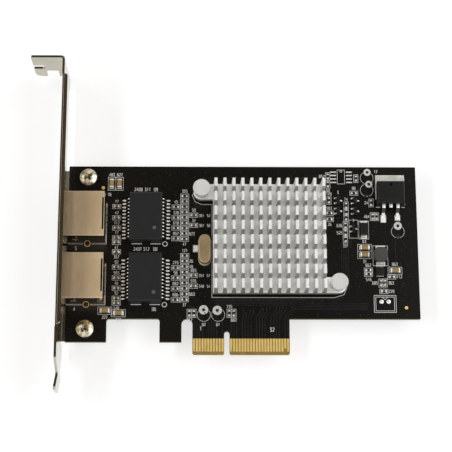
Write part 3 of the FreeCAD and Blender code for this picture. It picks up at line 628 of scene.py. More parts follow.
for node, finish, width in (
        ("bracket", "bracket", 0.07), ("circuit_board", "mask", 0), ("edge_contacts_front", "gold", 0),
        ("edge_contacts_back", "gold", 0), ("heatsink", "sink", 0.10), ("thermal_pad", "pad", 0),
        ("crystal_base", "chip", 0), ("regulator_body", "chip", 0.12), ("regulator_tab", "tab", 0.08),
        ("regulator_leads", "lead", 0.06), ("rectifier_diode", "chip", 0.08), ("rectifier_terminals", "tin", 0.06),
        ("power_inductor_terminals", "tin", 0.08), ("transistors", "chip", 0.05)):
    dress(node, finish, width)
for side in SIDES:
    dress("port_shield_" + side, "port", 0.05)
    dress("port_housing_" + side, "port_plastic")
    dress("port_contacts_" + side, "contact")
    dress("port_lamps_" + side, "lamp", 0.08)
    dress("transformer_" + side, "module", 0.10, 3)


# ---- screws, push pins, springs ----
def carve(obj, *batches):
    """Cuts batches of shapes out of a piece and keeps only the result."""
    cutters = [from_batch("cutter", one) for one in batches]
    for cutter in cutters:
        give(obj.modifiers.new("cut", "BOOLEAN"), operation="DIFFERENCE", solver="EXACT", object=cutter)
    deps = bpy.context.evaluated_depsgraph_get()
    mesh = bpy.data.meshes.new_from_object(obj.evaluated_get(deps))
    obj.modifiers.clear()
    unused = [obj.data] + [cutter.data for cutter in cutters]
    obj.data = mesh
    for cutter in cutters:
        bpy.data.objects.remove(cutter)
    for old in unused:
        bpy.data.meshes.remove(old)
    smooth_below(mesh, EDGE_ANGLE)


def screw(side, turned):
    """Pan-head screw with a tapered cross recess and a threaded shaft."""
    lo, hi = node_box("bracket_screw_" + side)
    x, y = middle(lo, hi)
    r, h, shaft = (hi.x - lo.x) / 2, hi.z, 1.45
    profile = [(0.4, lo.z), (shaft * 0.8, lo.z)]
    pitch, crown = 0.5, 1.0
    z = lo.z + 0.25
    while z < -0.3:
        profile += [(shaft * 0.80, z), (shaft * 0.99, z + 0.12), (shaft * 0.99, z + 0.18), (shaft * 0.80, z + 0.32)]
        z += pitch
    profile += [(shaft, -0.05), (shaft, 0.0), (r - 0.10, 0.0), (r, 0.10), (r, h - 1.05)]
    cap = (r * r + crown * crown) / (2 * crown)      # radius of the domed top
    for i in range(12):
        rho = r * (1 - i / 11 * 0.98) - 0.01
        profile.append((rho, h - cap + math.sqrt(cap * cap - rho * rho)))
    body = Batch()
    body.lathe(x, y, profile, 48)
    obj = piece("screw_" + side, body, "screw", "screw_steel", ["bracket_screw_" + side])
    arms = []
    for k in range(2):
        a = math.radians(turned + 90 * k)
        u = Vector((math.cos(a), math.sin(a)))
        v = Vector((-u.y, u.x))
        arm = Batch()
        arm.loft([[(x + u.x * s * reach + v.x * t * half, y + u.y * s * reach + v.y * t * half, z)
                   for s, t in ((1, 1), (-1, 1), (-1, -1), (1, -1))]
                  for reach, half, z in ((0.50, 0.30, h - 1.35), (1.72, 0.46, h - 0.20), (1.95, 0.54, h + 0.4))])
        arms.append(arm)
    carve(obj, *arms)


def push_pin(side):
    """Nylon push pin: disc head with a soft rim, stem and a split barb."""
    lo, hi = node_box("heatsink_pin_" + side)
    x, y = middle(lo, hi)
    r, z1, z0 = (hi.x - lo.x) / 2, hi.z, hi.z - 1.2
    body = Batch()
    body.lathe(x, y, [(0.7, lo.z), (0.9, lo.z + 0.05), (1.85, BACK - 0.35), (1.95, BACK - 0.2), (1.95, BACK - 0.04),
                      (1.5, BACK), (1.5, z0), (r - 0.25, z0), (r - 0.06, z0 + 0.08), (r, z0 + 0.28), (r, z1 - 0.30),
                      (r - 0.05, z1 - 0.14), (r - 0.17, z1 - 0.04), (r - 0.35, z1), (1.15, z1),
                      (1.05, z1 - 0.03), (0.95, z1 - 0.14), (0.3, z1 - 0.18)], 48)
    obj = piece("push_pin_" + side, body, "nylon", "nylon", ["heatsink_pin_" + side])
    slit = Batch()
    slit.block(x - 0.3, x + 0.3, y - 3, y + 3, [(0, lo.z - 1), (0, 1.0)], 0.01)
    flats = []
    for s in (1, -1):
        trim = Batch()
        y0, y1 = sorted((y + s * 1.35, y + s * 4))
        trim.block(x - 3, x + 3, y0, y1, [(0, lo.z - 1), (0, BACK - 0.02)], 0.01)
        flats.append(trim)
    carve(obj, slit, *flats)


def spring(side):
    """Compression spring of round wire with closed end turns."""
    lo, hi = node_box("heatsink_spring_" + side)
    x, y = middle(lo, hi)
    wire, r, turns = 0.24, 2.2, 6
    z0, z1 = lo.z + wire, hi.z - wire
    rise = 2 * wire * 1.02
    steps = 28
    path = []
    for i in range(turns * steps + 1):
        t = i / steps
        free = min(max(t - 1, 0), turns - 2) / (turns - 2)
        z = z0 + (rise * min(t, 1)) + (z1 - z0 - 2 * rise) * free + rise * max(0, t - turns + 1)
        path.append((x + r * math.cos(2 * math.pi * t), y + r * math.sin(2 * math.pi * t), z))
    body = Batch()
    body.wire(path, wire, 8)
    piece("spring_" + side, body, "spring", "spring_steel", ["heatsink_spring_" + side], 60)


screw("upper", 28)
screw("lower", 52)
for side in ("left", "right"):
    push_pin(side)
    spring(side)


# ---- leads, crystal, packages ----
solder_batch = Batch()         # fillets at leads and chip ends
land_batch = Batch()           # tinned lands under them


def land(x0, x1, y0, y1, r, inset=0.02):
    """Flat tinned land on the component side."""
    land_batch.block(x0, x1, y0, y1, [(0, TOP), (inset, COPPER)], r)


def wedge(x, y, dx, dy, width, height, reach):
    """Concave solder fillet from an end face down to the land, pointing along dx, dy."""
    prof = [(0.0, height), (reach * 0.12, height * 0.62), (reach * 0.35, height * 0.30),
            (reach * 0.65, height * 0.13), (reach, 0.05)]
    rings = []
    for k, (u, z) in enumerate(prof):
        w = width / 2 * (1.0 - 0.10 * k / 4)
        rings.append([(x + dx * u - dy * s * w, y + dy * u + dx * s * w, zz)
                      for s, zz in ((-1, 0.0), (1, 0.0), (1, z), (-1, z))])
    solder_batch.loft(rings)


def gull_leads(node, bodies, name, thickness, width, top, bend, far):
    """Gull-wing leads over the boxes of the plain ones, with rounded bends and solder at the feet."""
    leads = Batch()
    centres = [middle(*box) for box in solids(bodies)]
    for lo, hi in solids(node):
        cx, cy = middle(lo, hi)
        mid = min(centres, key=lambda c: abs(c[0] - cx) + abs(c[1] - cy) * 0.4)[0]
        s = 1 if cx > mid else -1
        inner = lo.x if s > 0 else hi.x
        reach = (hi.x - lo.x) * far
        outer = inner + s * reach
        foot = thickness / 2 + 0.01
        path = rounded([(-0.15, top), (reach * 0.20, top), (reach * bend, foot), (reach, foot)], thickness * 1.6)
        leads.bent_strip(path, thickness, width,
                         lambda u, v, z: (inner + s * u, cy + (v if s > 0 else -v), z))
        wedge(outer, cy, s, 0, width * 1.15, thickness * 1.2, 0.16)
        heel = inner + s * (reach * bend + thickness * 0.5)
        for d in (-1, 1):
            wedge((heel + outer) / 2, cy + d * width / 2, 0, d, abs(outer - heel), thickness * 0.9, 0.12)
        x0, x1 = sorted((heel, outer + s * 0.20))
        land(x0, x1, cy - width * 0.58, cy + width * 0.58, 0.08, 0.01)
    piece(name, leads, "lead", "tin", [node], 40)


for side in SIDES:
    gull_leads("transformer_leads_" + side, "transformer_" + side, "module_leads_" + side,
               0.22, 0.38, 2.45, 0.54, 0.90)
gull_leads("transistor_leads", "transistors", "small_gull_leads", 0.13, 0.40, 0.50, 0.50, 1.0)


def soft_top(z0, z1, r, steps=4):
    """Profile of an upright wall with a rounded top edge."""
    out = [(0, z0), (0, z1 - r)]
    for i in range(1, steps + 1):
        a = math.pi / 2 * i / steps
        out.append((r * (1 - math.cos(a)), z1 - r + r * math.sin(a)))
    return out


def crystal():
    """Welded can: a flat rim and a narrower shell with rounded shoulders."""
    lo, hi = node_box("crystal_can")
    cut = (hi.x - lo.x) / 2
    rim, can = Batch(), Batch()
    rim.block(lo.x, hi.x, lo.y, hi.y, [(0.05, lo.z), (0, lo.z + 0.05), (0, 0.78), (0.06, 0.88)], cut, 10)
    rim_width = Vector((0.25, 0.28, 0))
    lo2, hi2 = lo + rim_width, hi - rim_width
    profile = [(-0.12, 0.86), (-0.05, 0.92), (0, 1.05)] + soft_top(1.1, hi.z, 0.30, 6)[1:]
    can.block(lo2.x, hi2.x, lo2.y, hi2.y, profile, cut - 0.25, 10)
    # painted highlight: the rim gets the bright tin finish, lighter than the shell, for the highlight along the can's
    # lower step
    piece("crystal_rim", rim, "tin", "crystal_metal", (), 40)
    piece("crystal_shell", can, "crystal", "crystal_metal", ["crystal_can"], 40)


def crystal_feet():
    """Lands of the crystal: two under the ends of the can, one that stands out beside it."""
    can_lo, can_hi = node_box("crystal_base")
    feet = Batch()
    for a, b in solids("crystal_terminals"):
        y0, y1 = max(a.y, can_lo.y + 0.05), min(b.y, can_hi.y - 0.05)
        feet.block(a.x, b.x, y0, y1, [(0, 0.0), (0, 0.09), (0.03, 0.12)], 0.1)
        if a.x < can_lo.x:
            land(a.x - 0.3, b.x, a.y - 0.25, b.y + 0.25, 0.15, 0.01)
    piece("crystal_feet", feet, "lead", "tin", ["crystal_terminals"], 40)


def converter():
    """Moulded block with softened edges."""
    body = Batch()
    for lo, hi in solids("converter_chip"):
        body.block(lo.x, hi.x, lo.y, hi.y, [(0.06, lo.z)] + soft_top(lo.z + 0.05, hi.z, 0.06), 0.06)
    piece("converter_package", body, "chip", "chip_black", ["converter_chip"], 40)


def inductor():
    """Ferrite core: a square base, a waist and an overhanging top flange with a ring mark."""
    lo, hi = node_box("power_inductor")
    waist = hi.z - 0.9
    body = Batch()
    body.block(lo.x, hi.x, lo.y, hi.y,
               [(0.08, 0), (0, 0.1), (0, 0.55), (0.18, 0.7), (0.18, hi.z - 0.95), (0.1, waist)], 1.65, 8)
    body.block(lo.x - 0.05, hi.x + 0.05, lo.y - 0.25, hi.y + 0.30,
               [(0.1, waist), (0, hi.z - 0.8), (0, hi.z - 0.15), (0.15, hi.z)], 1.75, 8)
    body.annulus(*middle(lo, hi), 1.45, 1.62, 36, hi.z - 0.02, hi.z)
    piece("inductor_core", body, "ferrite", "ferrite", ["power_inductor"], 40)


def controller():
    """Ball-grid package: substrate, moulded lid and its balls, none in the middle."""
    lo, hi = node_box("controller_chip")
    body = Batch()
    body.block(lo.x, hi.x, lo.y, hi.y, [(0, 0.25), (0, 1.2)], 0.1)
    body.block(lo.x + 1, hi.x - 1, lo.y + 1, hi.y - 1, soft_top(1.19, hi.z, 0.3), 0.3)
    balls, inset = 14, 1.1
    for i in range(balls):
        for k in range(balls):
            if not (3 < i < 10 and 3 < k < 10):
                x = lo.x + inset + (hi.x - lo.x - 2 * inset) * i / (balls - 1)
                y = lo.y + inset + (hi.y - lo.y - 2 * inset) * k / (balls - 1)
                solder_batch.lathe(x, y, [(0.12, 0.0), (0.26, 0.13), (0.12, 0.27)], 6)
    piece("controller_package", body, "chip", "chip_black", ["controller_chip"], 40)


crystal()
crystal_feet()
inductor()
controller()
converter()


# ---- chip capacitors and resistors ----
def chip_parts(mid_node, cap_node, cap, body_finish, body_slot, label, glaze=False, back=False):
    """Chips between two tinned end caps, each with its solder and lands; gives their centres and directions."""
    bodies, caps, tops = Batch(), Batch(), Batch()
    out = []
    for lo, hi in solids(mid_node):
        along_x = (hi.x - lo.x) > (hi.y - lo.y)
        height = hi.z - lo.z
        cx, cy = middle(lo, hi)
        half, w = laid((hi.x - lo.x) / 2, (hi.y - lo.y) / 2, along_x)
        half += cap
        out.append((cx, cy, along_x))

        def put(batch, a0, a1, b, profile, r):
            if along_x:
                batch.block(cx + a0, cx + a1, cy - b, cy + b, profile, r, 2)
            else:
                batch.block(cx - b, cx + b, cy + a0, cy + a1, profile, r, 2)

        e = height * 0.10
        low, high = lo.z + 0.02, hi.z - 0.02
        put(bodies, -half + cap * 0.5, half - cap * 0.5, w - 0.025,
            [(e * 0.5, low), (0, low + e), (0, high - e), (e, high)], 0.05)
        if glaze:
            put(tops, -half + cap * 1.02, half - cap * 1.02, w - 0.04, [(0, hi.z - 0.03), (0.02, hi.z)], 0.04)
        for s in (-1, 1):
            put(caps, *sorted((s * half, s * (half - cap))), w,
                [(e * 0.6, lo.z + 0.005), (0, lo.z + e), (0, hi.z - e), (e * 0.45, hi.z - e * 0.3), (e, hi.z)], 0.10)
            if not back:
                dx, dy = laid(s, 0, along_x)
                wedge(cx + dx * half, cy + dy * half, dx, dy, 2 * w, height * 0.62, 0.28)
                put(land_batch, *sorted((s * (half - cap), s * (half + 0.32))), w + 0.03,
                    [(0, TOP), (0.01, COPPER)], 0.06)
    piece(label + "_bodies", bodies, body_finish, body_slot, [mid_node], 40)
    piece(label + "_ends", caps, "tin", "tin", [cap_node], 40)
    if glaze:
        piece(label + "_glaze", tops, "resistor", "resistor_black", (), 40)
    return out


large = chip_parts("large_capacitors", "large_capacitor_caps", 0.50, "tan", "ceramic_tan", "large_chip")
small = chip_parts("small_capacitors", "small_capacitor_caps", 0.33, "grey", "ceramic_grey", "small_chip")
resist = chip_parts("resistors", "resistor_caps", 0.30, "alumina", "resistor_black", "resistor", glaze=True)
rear = chip_parts("rear_capacitors", "rear_capacitor_caps", 0.33, "grey", "ceramic_grey", "rear_chip", back=True)


# ---- bare copper, plated holes, solder joints ----
gold_batch = Batch()           # gold-plated lands and rings
joints_back = Batch()          # solder cones on the solder side
copper = Batch(TOP, TRACK)     # tracks under the lacquer
hole_shade_plugs = Batch()                # dark discs in the holes: painted shade in place of the shadow seen through them
vias = Batch(TOP, VIA)
legend = Batch(TOP, INK)       # white legend, component side
legend_back = Batch(BACK - INK, BACK)
taken = []                     # places on the component side where nothing more fits


def hold(x0, x1, y0, y1):
    """Keeps a place clear of vias and numbers."""
    taken.append((x0, x1, y0, y1))


def is_free(x0, x1, y0, y1, gap=0.15):
    return not any(x0 < b + gap and x1 > a - gap and y0 < d + gap and y1 > c - gap for a, b, c, d in taken)


# Empty capacitor places: positive hole, middle of the printed circle, outer radius of the printed ring.
EMPTY_CAPS = (((50.93, 66.92), (50.73, 64.80), 1.30), ((51.43, 62.42), (50.61, 60.15), 1.30),
              ((61.43, 46.84), (61.36, 44.69), 1.46), ((-8.18, 16.00), (-8.10, 14.17), 1.66),
              ((-3.34, 15.80), (-3.03, 14.18), 1.66))
CAP_CIRCLE = 2.32              # radius of a printed capacitor circle
SECOND_HOLES = ((50.61, 58.30), (61.36, 42.90))
HEADER = ((54.78, 19.03), (57.30, 19.03))
SIGHT_MARKS = ((-44.47, 60.83), (63.53, 16.84))
EMPTY_LANDS_X = (38.60, 44.30)     # lands of an eight-pin package that this version leaves out
EMPTY_LANDS_Y = (66.97, 65.70, 64.40, 63.10)
PORT_LEG_X = -49.70            # legs of a port's shield, and their distance from its middle
PORT_LEG_DY = 8.25
PORT_PIN_X = (-45.20, -46.10)  # the two rows of a port's pins, and the step between pins
PORT_PIN_STEP = 1.02
EAR = 3.35                     # radius of the printed outline round the heatsink's ears
EAR_END = 4.1                  # from the middle of an ear to the side of the heatsink
SINK_GAP = 0.35                # from the heatsink to its printed outline
SMALL_CHIP = (1.15, 0.62)      # half length and half width of a chip part with its lands
LARGE_CHIP = (2.15, 1.12)
REAR_CHIP = (1.45, 0.8)        # half sizes of the box printed round a rear capacitor
FRONT_VIAS, BACK_VIAS = 150, 120

board_lo, board_hi = node_box("circuit_board")
sink_lo, sink_hi = node_box("heatsink")
ports = {s: node_box("port_shield_" + s) for s in SIDES}
modules = {s: node_box("transformer_" + s) for s in SIDES}
screws = [node_centre("bracket_screw_" + s) for s in SIDES]
pins = [node_centre("heatsink_pin_" + s) for s in ("left", "right")]


def plated_ring(batch, x, y, r0, r1, faces=(1, -1), steps=20):
    """Flat ring of metal round a hole, on the faces that are given."""
    for f in faces:
        z = TOP if f > 0 else BACK
        batch.annulus(x, y, r0, r1, steps, *sorted((z, z + f * COPPER)))


def solder_cone(x, y, r, h, stub, steps=14):
    """Joint round a pin end on the solder side."""
    joints_back.lathe(x, y, [(stub * 0.7, BACK - h), (stub, BACK - h + 0.06), (stub * 1.15, BACK - h * 0.62),
                             (r * 0.62, BACK - h * 0.22), (r * 0.95, BACK - 0.06), (r, BACK)], steps)


def screw_places():
    """Gold rings under the screws; nothing is printed near screws and push pins."""
    for c in screws:
        plated_ring(gold_batch, c.x, c.y, 1.66, 3.02, steps=36)
        hold(*around(c.x, c.y, 3.6, 3.6))
    for c in pins:
        hold(*around(c.x, c.y, 4.2, 4.2))


def port_joints():
    """Rings round the legs of the ports and, on the solder side, the joints of legs and pins."""
    x = PORT_LEG_X
    for lo, hi in ports.values():
        hold(*grown(lo, hi, 0, 0))
        mid = (lo.y + hi.y) / 2
        for y in (mid - PORT_LEG_DY, mid + PORT_LEG_DY):
            plated_ring(gold_batch, x, y, 0.93, 1.13, steps=24)
            # painted shade: a dark disc inside the leg's hole
            hole_shade_plugs.lathe(x, y, [(0.80, -0.7), (0.88, -0.6), (0.88, -0.16), (0.80, -0.10)], 20)
            hold(*around(x, y, 1.3, 1.3))
            joints_back.block(*around(x, y, 1.0, 0.75),
                              [(0.75, BACK - 1.25), (0.60, BACK - 0.8), (0.3, BACK - 0.3), (0, BACK)], 0.7, 5)
        for i in range(8):
            solder_cone(PORT_PIN_X[i % 2], mid + (i - 3.5) * PORT_PIN_STEP, 0.47, 0.95, 0.20)


def empty_places():
    """Plated holes and lands of the parts that this version leaves out, and the sight marks."""
    for (x, y), (cx, cy), _ in EMPTY_CAPS:
        plated_ring(land_batch, x, y, 0.58, 0.84)
        hold(*around(cx, cy, 2.6, 2.6))
    for x, y in SECOND_HOLES:
        plated_ring(vias, x, y, 0.58, 0.84)
    for x, y in [c[0] for c in EMPTY_CAPS] + list(SECOND_HOLES):
        # painted shade: dark discs that close the empty holes
        hole_shade_plugs.lathe(x, y, [(0.42, BACK + 0.02), (0.47, BACK + 0.05), (0.47, -0.05), (0.42, -0.02)], 16)
    for x, y in HEADER:
        plated_ring(land_batch, x, y, 0.50, 1.0, (-1,))
        solder_batch.lathe(x, y, [(0.80, TOP), (0.78, 0.06), (0.60, 0.18), (0.24, 0.24)], 20)
    for x, y in SIGHT_MARKS:
        gold_batch.lathe(x, y, [(0.60, TOP), (0.60, COPPER)], 24)
        hold(*around(x, y, 1.2, 1.2))
    for y in EMPTY_LANDS_Y:
        for x in EMPTY_LANDS_X:
            land(*around(x, y, 1.1, 0.25), 0.12)
    hold(37.0, 45.8, 62.3, 67.9)


def regulator_lands():
    """Large land and fillet of the regulator's tab, and those of its two long leads."""
    lo, hi = node_box("regulator_tab")
    land(lo.x + 0.1, hi.x - 0.1, lo.y + 0.2, hi.y + 0.35, 0.3)
    wedge((lo.x + hi.x) / 2, hi.y, 0, 1, hi.x - lo.x - 0.3, 0.7, 0.3)
    hold(lo.x - 0.8, hi.x + 0.8, lo.y - 8.6, hi.y + 1.0)
    for a, b in solids("regulator_leads"):
        if b.y - a.y > 3:
            cx = (a.x + b.x) / 2
            end = a.y - (0.9 if cx < 59 else 0.25)
            land(cx - 1.0, cx + 1.0, end, a.y + 2.0, 0.25)
            solder_batch.block(cx - 0.85, cx + 0.85, end + 0.2, a.y + 1.8,
                               [(0, 0.02), (0.12, 0.14), (0.35, 0.30)], 0.4)


def terminal_lands():
    """Lands and fillets of the rectifier and the inductor, and the converter's lands."""
    for body, terminals in (("rectifier_diode", "rectifier_terminals"),
                            ("power_inductor", "power_inductor_terminals")):
        mid = node_centre(body).y
        for a, b in solids(terminals):
            s, y = (1, b.y) if a.y > mid else (-1, a.y)
            wedge((a.x + b.x) / 2, y, 0, s, b.x - a.x, (b.z - a.z) * 0.6, 0.4)
            land(a.x - 0.15, b.x + 0.15, *sorted((y - s * 0.8, y + s * 0.5)), 0.12)
    lo, hi = node_box("converter_chip")
    for i in range(6):
        x = lo.x + 0.4 + i * (hi.x - lo.x - 0.8) / 5
        for y in (lo.y, hi.y):
            land_batch.block(*around(x, y, 0.14, 0.38), [(0, TOP), (0.01, 0.06)], 0.05)


def finger_tracks():
    """Tracks from the gold fingers into the board, both faces."""
    for node, track, via in (("edge_contacts_front", (TOP, TRACK), (TOP, VIA)),
                             ("edge_contacts_back", (BACK - TRACK, BACK), (BACK - TRACK, BACK))):
        for k, (lo, hi) in enumerate(solids(node)):
            x = (lo.x + hi.x) / 2
            if k % 5 == 4 or abs(x) < 1.4:
                continue
            lean = (x - 3) * 0.16
            end = x + lean
            top = min(14.6 + abs(lean) + 0.5 * (k % 4), 17.1)
            copper.line([(x, hi.y - 0.05), (x, 13.4), (end, 13.4 + abs(lean) + 0.3), (end, top)], 0.26, *track)
            if k % 2:
                vias.annulus(end, top, 0.16, 0.33, 12, *via)


def lead_tracks():
    """Tracks from the transformer leads towards the ports and the controller."""
    for s in SIDES:
        mid = middle(*modules[s])[0]
        for k, (lo, hi) in enumerate(solids("transformer_leads_" + s)):
            y = (lo.y + hi.y) / 2
            if lo.x > mid:
                end = y + 0.6 - 0.5 * (k % 2)
                path = [(hi.x, y), (hi.x + 2.2, y), (hi.x + 3.0, end), (hi.x + 8.6, end)]
            else:
                path = [(lo.x, y), (lo.x - 1.4, y), (lo.x - 2.0, y - 0.5), (ports[s][1].x - 0.5, y - 0.5)]
            copper.line(path, 0.2)


def power_tracks():
    """Groups of tracks to the right of the heatsink, above it and below it, and one track beside the inductor."""
    for i in range(5):
        x = 41.0 + 0.62 * i
        copper.line([(x, 26.0 - i), (x, 39.5 - 0.3 * i), (x + 1.2, 40.7 - 0.3 * i), (x + 1.2, 44.0)], 0.22)
    copper.line([(60.2, 33.4), (60.2, 43.2)], 0.24)
    for i in range(6):
        y = 61.6 + 0.55 * i
        copper.line([(-6.0 - i, y), (12.0 + 3 * i, y), (13.5 + 3 * i, y + 1.2), (34.0, y + 1.2)], 0.2)
    for i in range(5):
        y = 19.9 - 0.55 * i
        copper.line([(-4.0, y), (26.0 - i, y), (28.0 - i, y - 1.6), (50.0, y - 1.6)], 0.2)


def via_field():
    """Small tented vias: scattered on both faces, and a grid under the controller on the solder side."""
    count = 0
    while count < FRONT_VIAS:
        x = dice.uniform(board_lo.x + 3, board_hi.x - 2)
        y = dice.uniform(14.0, board_hi.y - 1.5)
        if is_free(*around(x, y, 0.4, 0.4)):
            vias.annulus(x, y, 0.13, 0.31, 10)
            hold(*around(x, y, 0.35, 0.35))
            count += 1
    for i in range(7):
        for k in range(7):
            x = (sink_lo.x + sink_hi.x) / 2 - 3.0 + 1.6 * i
            vias.annulus(x, 41.0 + 1.6 * (k - 3), 0.15, 0.32, 10, BACK - VIA, BACK)
    for _ in range(BACK_VIAS):
        x = dice.uniform(board_lo.x + 6, board_hi.x - 2)
        y = dice.uniform(15.0, board_hi.y - 2)
        vias.annulus(x, y, 0.13, 0.31, 10, BACK - VIA, BACK)


# ---- printed legend ----
def number_near(x, y, half_w, half_h, digits):
    """Prints a plain number in the first free place round a part."""
    text = "".join(dice.choice("123456789") for _ in range(digits))
    w, h = 0.36 * digits + 0.1, 0.55
    for dx, dy in ((0, half_h + 1.25), (0, -half_h - 1.25), (half_w + w + 0.35, 0), (-half_w - w - 0.35, 0)):
        place = around(x + dx, y + dy, w, h)
        if is_free(*place, 0.05) and board_lo.y + 12 < y + dy < board_hi.y - 0.8:
            legend.number(x + dx, y + dy, text)
            hold(*place)
            return


def open_circle(cx, cy, r, rings):
    """Circle of the legend that stops at the rings it meets."""
    steps = 96
    pts = [p[:2] for p in ring(cx, cy, r, 0, steps)]
    clear = [all(math.dist(p, at) > far + 0.1 for at, _, far in rings) for p in pts]
    start = clear.index(False)
    run = []
    for i in range(start, start + steps + 1):
        if clear[i % steps]:
            run.append(pts[i % steps])
            continue
        if len(run) > 1:
            legend.line(run, 0.13)
        run = []


def port_legend():
    """Corner lines at the ports; bars and a pin-one ring at the transformers."""
    for s in SIDES:
        lo, hi = ports[s]
        x, y = hi.x + 0.14, lo.y - 0.14
        legend.line([(x, hi.y - 1.6), (x, y), (PORT_LEG_X + 1.5, y)], 0.17)
        legend.line([(PORT_LEG_X - 1.5, y), (board_lo.x + 0.1, y)], 0.17)
        lo, hi = modules[s]
        mid = (lo.x + hi.x) / 2
        for x in (mid - 3.25, mid + 3.45):
            for y in (lo.y - 0.38, hi.y + 0.38):
                legend.line([(x - 1.85, y), (x + 1.85, y)], 0.35)
        legend.annulus(hi.x + 0.95, lo.y - 0.40, 0.66, 0.96, 24)
        hold(*grown(lo, hi, 3, 0.9))


def sink_legend():
    """Outline round the heatsink and its two ears."""
    left, right = pins
    x0, x1 = left.x + EAR_END - SINK_GAP, right.x - EAR_END + SINK_GAP
    low = right.y - EAR - 0.15
    slant = EAR * 0.7
    legend.line([(x1, sink_hi.y - 1.5), (x1, right.y + EAR), (right.x, right.y + EAR),
                 (right.x + slant, right.y + slant), (right.x + EAR, right.y),
                 (right.x + slant, right.y - EAR * 0.72), (right.x - 1.0, low), (x0, low),
                 (x0, left.y - EAR), (left.x, left.y - EAR), (left.x - slant, left.y - slant),
                 (left.x - EAR, left.y), (left.x - slant, left.y + slant), (left.x, left.y + EAR)], 0.2)
    hold(x0, x1, sink_lo.y - 1, sink_hi.y + 1)


def package_legend():
    """Outlines of the packages, marks of the regulator and the outline of the package left out."""
    for node, gap_x, gap_y in (("crystal_can", 0, 1.2), ("rectifier_diode", 0.45, 1.2), ("power_inductor", 0.3, 1.3),
                               ("converter_chip", 0, 0.7)):
        lo, hi = node_box(node)
        if gap_x:
            legend.box_line(*grown(lo, hi, gap_x, gap_y))
        hold(*grown(lo, hi, gap_x + 0.3, gap_y))
    for lo, hi in solids("transistors"):
        if hi.y < 48:
            legend.box_line(*grown(lo, hi, 0.95, 1.9))
        hold(*grown(lo, hi, 1, 0.4))
        number_near(*middle(lo, hi), 1.4, 1.9, 1)
    lo, hi = node_box("regulator_tab")
    legend.line([(hi.x + 0.22, hi.y - 0.6), (hi.x + 0.22, 54.4)], 0.12)
    for x0, x1 in ((lo.x + 0.1, lo.x + 1.7), (hi.x - 1.1, hi.x + 0.1)):
        legend.line([(x0, 53.75), (x1, 53.75)], 0.28)
    legend.box_line(40.06, 42.70, 62.51, 67.76)
    legend.annulus(41.38, 67.3, 0.28, 0.48, 14)


def capacitor_legend():
    """A ring round each positive hole and an open circle for the body."""
    for (x, y), (cx, cy), far in EMPTY_CAPS:
        legend.annulus(x, y, 0.85, far, 28)
        open_circle(cx, cy, CAP_CIRCLE, EMPTY_CAPS)


def header_legend():
    """Double box with a notch round the two header pins."""
    mid = (HEADER[0][0] + HEADER[1][0]) / 2
    legend.box_line(mid - 3.88, mid + 3.88, 15.14, 21.27, 0.2)
    legend.box_line(mid - 3.30, mid + 3.30, 15.70, 20.70, 0.2)
    legend.line([(mid - 1.0, 20.7), (mid, 19.7), (mid + 1.0, 20.7)], 0.2)
    hold(mid - 4, mid + 4, 15, 21.4)


def polarity_bar():
    lo, hi = node_box("rectifier_diode")
    y = hi.y + 0.95
    legend.line([(lo.x - 0.2, y), (hi.x + 0.2, y)], 0.28)


def plain_numbers():
    """Numbers at the ends of the fingers, beside the larger parts and to the left of the heatsink."""
    places = [(-9.2, 9.3, "1", 1.3), (15.9, 8.9, "32", 1.3), (-53.8, 38.3, "5", 1.2), (-53.8, 16.2, "4", 1.2),
              (-31.8, 60.2, "2408", 1.1), (-28.5, 60.2, "311", 1.1), (-25.5, 60.2, "09", 1.1),
              (-31.8, 38.05, "2407", 1.1), (-28.7, 38.05, "312", 1.1), (-25.5, 38.05, "08", 1.1),
              (-25.7, 16.2, "06", 1.1), (-42.2, 58.3, "16", 1.0), (-8.1, 10.7, "02", 0.95),
              (-3.1, 10.7, "01", 0.95), (54.0, 67.2, "12", 1.0)]
    for y, near, far in ((50.5, "361", "52"), (46.8, "367", "50"), (28.4, "354", "57"), (24.5, "348", "54")):
        places += [(-9.0, y, near, 0.9), (-6.5, y, far, 0.9)]
    for x, y, text, height in places:
        legend.number(x, y, text, height)
        hold(*around(x, y, height, height * 0.6))


def rear_legend():
    """Boxes and mirrored numbers of the capacitors, rings at the push pins, a box round each port's pins."""
    legend_back.box_line(*grown(*node_box("rear_capacitors"), 2.0, 1.8))
    for x, y, along_x in rear:
        a, b = laid(*REAR_CHIP, along_x)
        legend_back.box_line(*around(x, y, a, b))
        legend_back.number(x, y + b + 0.9, str(dice.randint(11, 49)), flip=-1)
    for c in pins:
        legend_back.annulus(c.x, c.y, 3.0, 3.2, 32)
    for lo, hi in ports.values():
        legend_back.box_line(hi.x - 4.3, hi.x - 0.6, lo.y + 3.4, hi.y - 3.4)


def chip_legend():
    """Box round every chip part of the component side, then a number in a free place beside it."""
    every = [(c, *SMALL_CHIP) for c in small + resist] + [(c, *LARGE_CHIP) for c in large]
    for (x, y, along_x), a, b in every:
        hold(*around(x, y, *laid(a + 0.05, b, along_x)))
        legend.box_line(*around(x, y, *laid(a + 0.32, b + 0.18, along_x)))
    for (x, y, along_x), a, b in every:
        number_near(x, y, *laid(a, b, along_x), dice.choice((2, 3, 3)))


def module_dots():
    """Paint dot at pin one of each transformer."""
    dots = Batch()
    for s, dy in (("upper", 4.35), ("lower", 3.1)):
        lo, hi = modules[s]
        dots.lathe((lo.x + hi.x) / 2 + 3.15, lo.y + dy,
                   [(0.66, hi.z - 0.1), (0.66, hi.z + 0.01), (0.6, hi.z + 0.02)], 24)
    piece("module_pin_dots", dots, "dot", "module_black", (), 40)


def regulator_pit():
    """Ejector mark on the regulator's face, drawn as a near-black disc: painted shade in its dimple."""
    pit = Batch()
    lo, hi = node_box("regulator_body")
    pit.lathe((lo.x + hi.x) / 2, 61.1, [(0.5, hi.z - 0.3), (0.55, hi.z + 0.002), (0.50, hi.z + 0.006)], 20)
    piece("regulator_pit", pit, "pit", "chip_black", (), 40)


